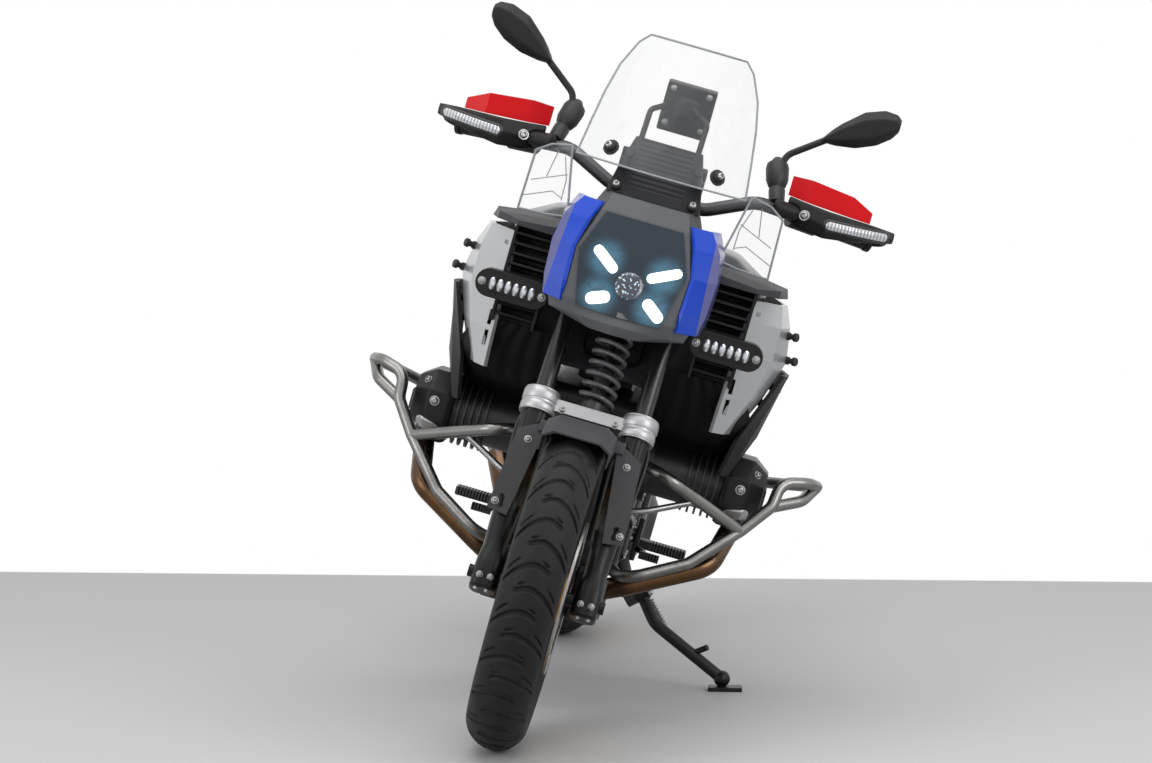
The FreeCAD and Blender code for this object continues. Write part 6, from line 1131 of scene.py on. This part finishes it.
def seat_solids():
    """The seat node's separate cushions, as meshes."""
    whole = bmesh.new()
    whole.from_mesh(nodes["seats"].data)
    bmesh.ops.remove_doubles(whole, verts=whole.verts, dist=weld_gap)
    seen, groups = set(), []
    for vert in whole.verts:
        if vert.index in seen:
            continue
        group, waiting = [], [vert]
        seen.add(vert.index)
        while waiting:
            here = waiting.pop()
            group.append(here)
            for edge in here.link_edges:
                other = edge.other_vert(here)
                if other.index not in seen:
                    seen.add(other.index)
                    waiting.append(other)
        groups.append(group)
    meshes = []
    for group in groups:
        index = {vert.index: n for n, vert in enumerate(group)}
        faces = [[index[v.index] for v in face.verts] for face in whole.faces if face.verts[0].index in index]
        mesh = bpy.data.meshes.new("cushion")
        mesh.from_pydata([vert.co for vert in group], [], faces)
        meshes.append(mesh)
    whole.free()
    return sorted(meshes, key=lambda mesh: mesh.vertices[0].co.y)


def cushion(name, foam):
    """A cushion blown up a little from a smaller copy of its foam, kept inside the foam's form."""
    shrunk_to, most_rise, blown_frames = 0.965, 0.007, 20
    shape = settled(foam, ("REMESH", {"mode": "VOXEL", "voxel_size": 0.006}),
                    ("SMOOTH", {"factor": 0.5, "iterations": 8}))
    middle = sum((v.co for v in shape.vertices), Vector()) / len(shape.vertices)
    for vert in shape.vertices:
        vert.co = middle + (vert.co - middle) * shrunk_to
    start = [v.co.copy() for v in shape.vertices]
    obj = placed(name, shape)
    cloth = obj.modifiers.new("cover", "CLOTH")
    cloth.settings.use_pressure = True
    cloth.settings.uniform_pressure_force = 4
    cloth.settings.effector_weights.gravity = 0
    scene = bpy.context.scene
    for frame_number in range(1, blown_frames + 1):
        scene.frame_set(frame_number)
    blown = bpy.data.meshes.new_from_object(obj.evaluated_get(bpy.context.evaluated_depsgraph_get()))
    obj.modifiers.clear()
    for vert, old, new in zip(shape.vertices, start, blown.vertices):
        move = new.co - old
        vert.co = old + move.normalized() * min(move.length, most_rise) if move.length > 0 else old
    scene.frame_set(1)
    rounded = settled(obj.data, ("SMOOTH", {"factor": 0.4, "iterations": 3}),
                      ("SUBSURF", {"levels": 1, "render_levels": 1}))
    bpy.data.objects.remove(obj)
    return ridden(name, rounded, "chassis", seat_cover, math.radians(70))


for word, foam in zip(("rider", "pillion"), seat_solids()):
    pad = cushion("seat_cushion_" + word, foam)
    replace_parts(pad, "seats")

# Tank: steel, lacquered near black with fine flakes, and a brushed filler cap with six screws.
tank_paint = Finish("tank_paint", (0.012, 0.013, 0.016), 0.26, Coat_Weight=1.0, Coat_Roughness=0.04)
tank_place = tank_paint.axes()
cap_at = -0.196
from_cap = tank_place[0].away(tank_place[1] - cap_at)
on_cap = (1.0 - from_cap.ramp(0.0445, 0.0455)) * tank_place[2].ramp(1.0, 1.02)
tank_flakes = tank_paint.noise(1500.0, 2.0)
lacquered = tank_place[1].ramp(-0.36, -0.30) * tank_place[2].ramp(0.80, 0.86)
cap_rings = (from_cap * 4000.0).wave()
tank_base = tank_paint.between(tank_flakes.ramp(0.5, 0.8), (0.010, 0.011, 0.014), (0.035, 0.038, 0.046))
tank_paint.feed(Base_Color=tank_paint.between(on_cap, tank_base, (0.30, 0.30, 0.305)), Metallic=on_cap,
                Roughness=on_cap * 0.1 + cap_rings * 0.03 + (1.0 - lacquered) * 0.5 + 0.2,
                Coat_Weight=lacquered)
tank_paint.bump(tank_flakes, 0.00003, 0.004)
cast("tank_shell", "fuel_tank", "chassis", tank_paint, 0.0045, 24)
screws("cap_screws", "chassis", screw_steel, 0.0034, [
    ("fuel_tank", (x, y, clear_above), (0, 0, -1)) for x, y in ring(0, cap_at, 0.036, 6)])

# Rack and tail: black coated rack plate with grab handles, plastic tail, red lamp between them,
# amber indicators on a stalk, and a blank plate on its carrier.
rack_black = grained("rack_black", (0.010, 0.010, 0.011), 0.46, 420.0, 0.0004, 0.003, shine=0.28)
rack_black.on("luggage_rack")
screws("rack_screws", "chassis", screw_steel, 0.0065, [
    ("luggage_rack", (side * 0.096, y, clear_above), (0, 0, -1)) for side in (-1, 1) for y in (0.730, 0.900)])
tail_black = grained("tail_black", (0.009, 0.009, 0.0095), 0.5, 520.0, 0.0003, 0.003, shine=0.25)
tail_place = tail_black.axes()
plate_face = tail_place[1].ramp(1.094, 1.098) * (1.0 - tail_place[0].size().ramp(0.090, 0.092))
plate_cloud = tail_black.noise(30.0, 3.0)
plate_white = tail_black.between(plate_cloud, (0.52, 0.53, 0.53), (0.62, 0.63, 0.63))
tail_black.feed(Base_Color=tail_black.between(plate_face, (0.009, 0.009, 0.0095), plate_white))
tail_black.on("tail_unit")
lamp_red = Finish("lamp_red", (0.42, 0.006, 0.008), 0.14, Coat_Weight=1.0, Coat_Roughness=0.03)
lamp_place = lamp_red.axes()
prism_u = (lamp_place[0] * 900.0).wave() * 0.5 + 0.5
prism_w = (lamp_place[2] * 900.0).wave() * 0.5 + 0.5
amber_part = lamp_place[0].size().ramp(0.085, 0.095)
prisms = prism_u * prism_w
red_glass = lamp_red.between(prisms, (0.22, 0.003, 0.004), (0.60, 0.010, 0.012))
amber_glass = lamp_red.between(prisms, (0.50, 0.14, 0.01), (0.85, 0.30, 0.03))
lamp_red.feed(Base_Color=lamp_red.between(amber_part, red_glass, amber_glass))
lamp_red.bump(prism_u + prism_w, 0.0004, 0.002)
lamp_red.on("tail_lamps")

# Struts: grey coil springs wound round black dampers with steel rods, one behind the fork on the
# front arm and one between the swingarm and the rails.
def strut(word, foot, top):
    """A damper and the spring round it, between two points of the upright frame."""
    foot, top = Vector(foot), Vector(top)
    body = turned_bar(foot, top, [
        (0, 0.0130), (0.0, 0.0190), (0.09, 0.0195), (0.10, 0.0385), (0.125, 0.0395), (0.14, 0.0385),
        (0.15, 0.0170), (0.46, 0.0170), (0.47, 0.0185), (0.50, 0.0185), (0.51, 0.0075), (0.84, 0.0075),
        (0.85, 0.0385), (0.87, 0.0395), (0.885, 0.0385), (0.89, 0.0190), (1.0, 0.0190), (1.0, 0.0130)], 32)
    damper = ridden("damper_" + word, gathered("damper_" + word, [body]), "chassis", frame_coat)
    spring = coil("spring_" + word, "chassis", spring_grey, foot + (top - foot) * 0.135,
                  foot + (top - foot) * 0.862, turns=7, radius=0.034, wire=0.0052)
    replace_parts(damper, "struts")
    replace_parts(spring, "struts")


strut("front", on_fork(0, 0.1169, 0.4120), (0, -0.410, 0.858))
strut("rear", (0, 0.372, 0.462), (0, 0.300, 0.808))

# Inner cowls: black moulded ducts that close the space between the radiators, the black wings and
# the cylinders, ribbed along their length, with a lip at the front edge.
cowl_black = grained("cowl_black", (0.006, 0.006, 0.0065), 0.6, 420.0, 0.0004, 0.003, shine=0.15)


def cowl(side, word):
    """One side's duct, from rows of height with their inner and outer edges."""
    rows = [(-0.444, 0.792, 0.112, 0.262), (-0.436, 0.775, 0.104, 0.290), (-0.410, 0.735, 0.098, 0.312),
            (-0.372, 0.695, 0.094, 0.318), (-0.326, 0.662, 0.092, 0.312), (-0.262, 0.646, 0.092, 0.296),
            (-0.222, 0.632, 0.092, 0.300), (-0.206, 0.608, 0.092, 0.300)]
    columns = 25
    points = []
    for y, z, inner, outer in rows:
        for n in range(columns):
            share = n / (columns - 1)
            rib = 0.004 * math.cos(2 * math.pi * share * 6) * (1 - abs(2 * share - 1) ** 4)
            turned_in = 0.060 * smoothed(share, 0.80, 1.0) + 0.020 * (1 - smoothed(share, 0.0, 0.15))
            points.append(Vector((side * (inner + (outer - inner) * share), y + turned_in + rib, z)))
    sheet = leaned("inner_cowl_" + word, points, grid_faces(len(rows), columns))
    shape = bmesh.new()
    shape.from_mesh(sheet)
    bmesh.ops.recalc_face_normals(shape, faces=shape.faces)
    shape.to_mesh(sheet)
    shape.free()
    walled = settled(sheet, ("SUBSURF", {"levels": 1, "render_levels": 1}),
                     ("SOLIDIFY", {"thickness": 0.003, "offset": 0.0}))
    ridden("inner_cowl_" + word, walled, "chassis", cowl_black)


for side, word in hands:
    cowl(side, word)

# Stage: a pale floor under three soft lamps. Beyond the wall line the floor shows white to the
# camera, where the photo has a white wall.
floor_colour = (0.62, 0.62, 0.625)
floor_half = 6.0
wall_line = 1.74
floor_mesh = bpy.data.meshes.new("floor")
corners = ((-1, -1), (1, -1), (1, 1), (-1, 1))
floor_mesh.from_pydata([(floor_half * u, floor_half * w, 0) for u, w in corners], [], [(0, 1, 2, 3)])
floor = placed("floor", floor_mesh)
floor_paint = Finish("floor_paint", floor_colour, 0.6)
floor_place = floor_paint.parts(floor_paint.node("ShaderNodeTexCoord", output="Object"))
beyond_line = floor_place[1].ramp(wall_line - 0.01, wall_line + 0.01)
seen_direct = floor_paint.node("ShaderNodeLightPath")
white_glow = floor_paint.node("ShaderNodeEmission", None, {"Color": (1, 1, 1, 1), "Strength": 1.0})
floor_mix = floor_paint.node("ShaderNodeMixShader", None, {
    0: beyond_line * seen_direct, 1: Wire(floor_paint, floor_paint.shader.outputs[0]), 2: white_glow})
floor_paint.tree.links.new(floor_mix.socket, floor_paint.tree.nodes["Material Output"].inputs["Surface"])
floor_mesh.materials.append(floor_paint.material)

world = bpy.data.worlds.new("studio")
bpy.context.scene.world = world
world.use_nodes = True
studio = world.node_tree
backdrop_light = studio.nodes["Background"]
backdrop_light.inputs["Color"].default_value = (1, 1, 1, 1)
ray = studio.nodes.new("ShaderNodeLightPath")
seen = ray.outputs["Is Camera Ray"]
for kind in ("Is Glossy Ray", "Is Transmission Ray"):
    either = studio.nodes.new("ShaderNodeMath")
    either.operation = "MAXIMUM"
    studio.links.new(seen, either.inputs[0])
    studio.links.new(ray.outputs[kind], either.inputs[1])
    seen = either.outputs[0]
room_strength = studio.nodes.new("ShaderNodeMapRange")
studio.links.new(seen, room_strength.inputs["Value"])
room_strength.inputs["To Min"].default_value = 0.42
room_strength.inputs["To Max"].default_value = 1.0
studio.links.new(room_strength.outputs[0], backdrop_light.inputs["Strength"])


def soft_lamp(name, place, aim, size, power):
    """A rectangular lamp that faces a point."""
    light = bpy.data.lights.new(name, "AREA")
    light.shape = "RECTANGLE"
    light.size, light.size_y = size
    light.energy = power
    lamp = placed(name, light)
    lamp.location = place
    lamp.rotation_euler = (Vector(aim) - Vector(place)).to_track_quat("-Z", "Y").to_euler()


soft_lamp("overhead_softbox", (0.0, -1.0, 4.2), (0, 0, 0.6), (4.0, 3.0), 75)
soft_lamp("left_softbox", (3.6, -3.2, 2.6), (0, 0, 0.7), (2.4, 2.4), 60)
soft_lamp("right_softbox", (-3.6, -3.2, 2.4), (0, 0, 0.7), (2.4, 2.4), 45)
bpy.context.scene.view_settings.view_transform = "Standard"
